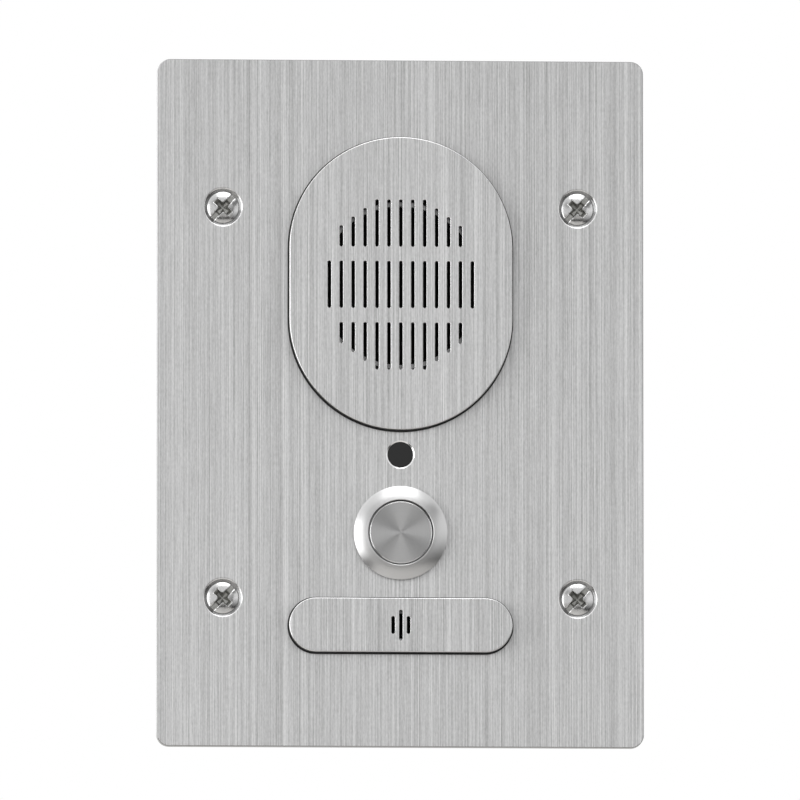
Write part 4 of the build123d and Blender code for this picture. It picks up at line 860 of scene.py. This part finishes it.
# Green of pluggable screw terminals
dress(moulded("green_terminal_nylon", "#2f7d49", 0.4, 0.3, 0.01), "terminal_block")
# Milky white of wire connectors
dress(moulded("white_connector_nylon", "#e2dfd6", 0.45, 0.3, 0.01), "lead_headers", "lead_plugs")
# Red lead covering with a soft shine
dress(moulded("red_lead_covering", "#953131", 0.45, 0.4, 0.005), "speaker_leads", "microphone_leads",
      "button_leads")
# Pressed paper pulp, dark and fibrous
dress(moulded("pressed_cone_paper", "#1f1e1d", 0.88, 0.45, 0.06, 0.15), "speaker_cone", "dust_cap")
# Hard brown paper board
dress(moulded("brown_fibre_board", "#8d6d4d", 0.7, 0.3, 0.02, 0.12), "speaker_terminal_strip")
# Fired ferrite, dark grey with a fine crust
dress(moulded("grey_ferrite", "#3d3d3f", 0.62, 0.3, 0.03), "speaker_magnet")
# Powder paint with a light peel
dress(moulded("black_basket_paint", "#202020", 0.5, 0.8, 0.03), "speaker_frame")
print("moulded finishes made, with patches of tone", mottle_mm, "mm wide")

# %% [markdown]
# ## Plated pieces behind the plate
# The fasteners, clamps, springs and contacts take the finish of plain metals, each with the colour of its
# plating. The housing's screws get their recess here, and the same tree sets them down.

# %% Dress the plated pieces
# Cool grey zinc with a soft shine
zinc = plain_metal("zinc_plated_steel", "#c6c8c9", 0.3, 2.5)
dress(zinc, "button_washer", "button_nut", "stud_spacers", "stud_nuts", "housing_standoffs", "board_screws",
      "speaker_clamp", "microphone_clamp", "speaker_top_plate", "speaker_yoke", "terminal_screws",
      "housing_screws")
# Brighter nickel on the jack's shield
dress(plain_metal("nickel_plated_shield", "#cfccc4", 0.22, 4.0), "network_jack_shield")
# Oiled, darker spring wire
spring_wire = plain_metal("spring_steel_wire", "#a9a9a7", 0.24, 1.0)
dress(spring_wire, "button_spring", "button_clip")
# Warm gold of contact faces
dress(plain_metal("gilt_contact_brass", "#dbc07c", 0.2, 1.5), "contact_bridge", "switch_terminals",
      "network_jack_contacts")
# Drawn aluminium, pale and satin
dress(plain_metal("drawn_aluminium", "#d8d9da", 0.3, 1.5), "microphone_capsule", "board_capacitors")
# Lacquered copper wire
dress(plain_metal("lacquered_copper", "#c9824f", 0.25, 0.4), "voice_coil")
print("plated pieces dressed, the most of them in", zinc.name)

# %% Cut and place the housing's screws
pan_rolled_width = 0.06 * MM
# As for the mounting screws, but the head faces the back, so the recess goes up from its top
pan_cross_levels = ((1.75, 0.44, 0.2, -0.3), (0.7, 0.24, 0.1, 1.1), (0.2, 0.08, 0.04, 1.35))
pan_screw.data.materials.append(zinc)
# The recess finish is dull and painted darker as shade
cut(pan_screw, lofted_cutter(cross_outline, pan_cross_levels, pan_top), screw_recess_shade)
roll_edges(pan_screw, pan_rolled_width)
screws_width = screws_high.x - screws_low.x - 2 * pan_radius
screws_height = screws_high.z - screws_low.z - 2 * pan_radius
run_tree(pan_screw, array, Columns=2, Rows=2, Width=screws_width, Height=screws_height,
         Centre=array_centre, Finish=zinc)
soften(pan_screw, screw_sharp_degrees)
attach(pan_screw, "station")
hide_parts("housing_screws")
print(f"housing screws {screws_width / MM:.1f} x {screws_height / MM:.1f} mm apart")

# %% [markdown]
# ## Cloth, laminate and window
# The dust mesh and the membrane are black woven cloth, and the spider is resin-dipped linen. Two crossed waves
# give the threads. The board is green laminate with paler tracks under the lacquer. The status window is a
# smoked plastic that looks black until the light behind it is on, and the light pipe is clear.

# %% Woven cloth
def woven(name, thread_hex, gap_hex, pitch_mm, roughness):
    """Cloth in the XZ plane: the higher of two crossed threads shows."""
    material, tree, shader = new_finish(name, Roughness=roughness)
    place = add(tree, "ShaderNodeTexCoord").outputs["Object"]
    spread = add(tree, "ShaderNodeSeparateXYZ", {0: place})
    threads = []
    for axis in ("X", "Z"):
        turn = add(tree, "ShaderNodeMath", {0: spread.outputs[axis], 1: 2 * math.pi / (pitch_mm * MM)},
                   operation="MULTIPLY")
        threads.append(add(tree, "ShaderNodeMath", {0: turn.outputs[0]}, operation="SINE").outputs[0])
    top = add(tree, "ShaderNodeMath", {0: threads[0], 1: threads[1]}, operation="MAXIMUM")
    height = add(tree, "ShaderNodeMapRange", {"Value": top.outputs[0], "From Min": -1.0, "From Max": 1.0})
    colour = add(tree, "ShaderNodeMix", {
        0: height.outputs[0], 6: linear(gap_hex), 7: linear(thread_hex),
    }, data_type="RGBA")
    relief = add(tree, "ShaderNodeBump", {
        "Height": height.outputs[0], "Strength": 0.8, "Distance": pitch_mm * MM / 4,
    })
    tree.links.new(colour.outputs[2], shader.inputs["Base Color"])
    tree.links.new(relief.outputs[0], shader.inputs["Normal"])
    return material


# Black net that hides the loudspeaker
dress(woven("black_dust_cloth", "#1c1c1c", "#020202", 0.3, 0.85), "speaker_mesh", "microphone_membrane")
# Tan, stiff linen
spider_linen = woven("resin_dipped_linen", "#c3a06b", "#7a5c34", 0.45, 0.7)
dress(spider_linen, "speaker_spider")
print("cloth on", ("speaker_mesh", "microphone_membrane", "speaker_spider"))

# %% Laminate with tracks
track_field = 12 * MM
# Green under a clear lacquer, with paler tracks
laminate, tree, shader = new_finish("green_board_laminate", Roughness=0.35)
place = add(tree, "ShaderNodeTexCoord").outputs["Object"]
flat_place = add(tree, "ShaderNodeMapping", {"Vector": place, "Rotation": (math.pi / 2, 0, 0)})
tracks = add(tree, "ShaderNodeTexBrick", {
    "Vector": flat_place.outputs[0], "Scale": 1 / track_field,
    "Color1": linear("#2b6a45"), "Color2": linear("#27603e"), "Mortar": linear("#4c9a68"),
    "Mortar Size": 0.02, "Brick Width": 0.5, "Row Height": 0.12,
})
tree.links.new(tracks.outputs["Color"], shader.inputs["Base Color"])
dress(laminate, "main_board")
print(f"laminate on the board, rows of tracks {0.12 * track_field / MM:.2f} mm apart")

# %% Window, light pipe and diode
def clear_plastic(name, hex_colour, roughness, haze_mm, **inputs):
    """Glossy plastic with a faint haze that moves the gloss."""
    material, tree, shader = new_finish(name, Base_Color=linear(hex_colour), **inputs)
    place = add(tree, "ShaderNodeTexCoord").outputs["Object"]
    haze = add(tree, "ShaderNodeTexNoise", {"Vector": place, "Scale": 1 / (haze_mm * MM), "Detail": 3.0})
    gloss = add(tree, "ShaderNodeMapRange", {
        "Value": haze.outputs[0], "From Min": noise_low, "From Max": noise_high,
        "To Min": 0.6 * roughness, "To Max": 1.4 * roughness,
    })
    tree.links.new(gloss.outputs[0], shader.inputs["Roughness"])
    return material


acrylic_ior = 1.49
# Near black, with one soft reflection of the room
dress(clear_plastic("smoked_window", "#0b0b0b", 0.1, 1.2, IOR=acrylic_ior), "status_lens")
# Water clear
dress(clear_plastic("clear_acrylic", "#f4f6f6", 0.05, 1.5, IOR=acrylic_ior, Transmission_Weight=1.0),
      "light_pipe")
# Milky resin with a soft shine
dress(clear_plastic("milky_diode_resin", "#e8e6dc", 0.3, 0.6), "status_led")
print("window, pipe and diode dressed")

# %% [markdown]
# ## The pieces that give
# Two hidden pieces change shape as the station works. The button's return spring is pressed together by the
# button's travel, and the spider, the corrugated linen that centres the voice coil, flattens when the cone
# comes back. The spring could be bent from a mesh tube, but a Geometry Nodes spiral with a round profile
# follows its path by itself. The spider is a merged copy of its solid.

# %% A Geometry Nodes tree that winds a spring
spiral_steps = 48
wire_steps = 16


def new_spring_tree():
    """A tree that winds a round wire about the Y axis, from its centre towards the front."""
    tree, given = new_tree("wound_spring", Turns="Float", Coil_Radius="Float", Wire_Radius="Float",
                           Length="Float", Centre="Vector", Finish="Material")
    coil = add(tree, "GeometryNodeCurveSpiral", {
        "Resolution": spiral_steps, "Rotations": given["Turns"], "Height": given["Length"],
        "Start Radius": given["Coil Radius"], "End Radius": given["Coil Radius"],
    })
    turned = add(tree, "GeometryNodeTransform", {
        "Geometry": coil.outputs[0], "Translation": given["Centre"], "Rotation": (math.pi / 2, 0, 0),
    })
    profile = add(tree, "GeometryNodeCurvePrimitiveCircle", {
        "Resolution": wire_steps, "Radius": given["Wire Radius"],
    })
    wire = add(tree, "GeometryNodeCurveToMesh", {
        "Curve": turned.outputs[0], "Profile Curve": profile.outputs[0], "Fill Caps": True,
    })
    real = add(tree, "GeometryNodeRealizeInstances", {"Geometry": wire.outputs[0]})
    finished = add(tree, "GeometryNodeSetMaterial", {
        "Geometry": real.outputs[0], "Material": given["Finish"],
    })
    add(tree, "NodeGroupOutput", {"Geometry": finished.outputs[0]})
    return tree


spring_tree = new_spring_tree()
print("spring tree:", [item.name for item in spring_tree.interface.items_tree if item.in_out == "INPUT"])

# %% The return spring
spring_low, spring_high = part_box("button_spring")
spring_turns = 5.0
wire_radius = 0.35 * MM
spring_sharp_degrees = 40
spring_length = spring_high.y - spring_low.y
spring = new_piece("button_spring_visual", bmesh.new(), spring_wire)
run_tree(spring, spring_tree, Turns=spring_turns, Coil_Radius=spring_high.x - wire_radius,
         Wire_Radius=wire_radius, Length=spring_length - 2 * wire_radius,
         Centre=(0.0, spring_high.y - wire_radius, button_centre[2]), Finish=spring_wire)
soften(spring, spring_sharp_degrees)
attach(spring, "station")
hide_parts("button_spring")
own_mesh(spring)
print(f"spring: {len(spring.data.polygons)} faces, {spring_length / MM:.1f} mm long at rest")

# %% The spider
spider_low, spider_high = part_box("speaker_spider")
spider_sharp_degrees = 20
shape = bmesh.new()
shape.from_mesh(nodes["speaker_spider"].data)
bmesh.ops.remove_doubles(shape, verts=shape.verts, dist=merge_within)
spider = new_piece("speaker_spider_visual", shape, spider_linen)
soften(spider, spider_sharp_degrees)
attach(spider, "station")
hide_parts("speaker_spider")
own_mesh(spider)
print(f"spider: {len(spider.data.polygons)} faces, {(spider_high.y - spider_low.y) / MM:.2f} mm deep at rest")
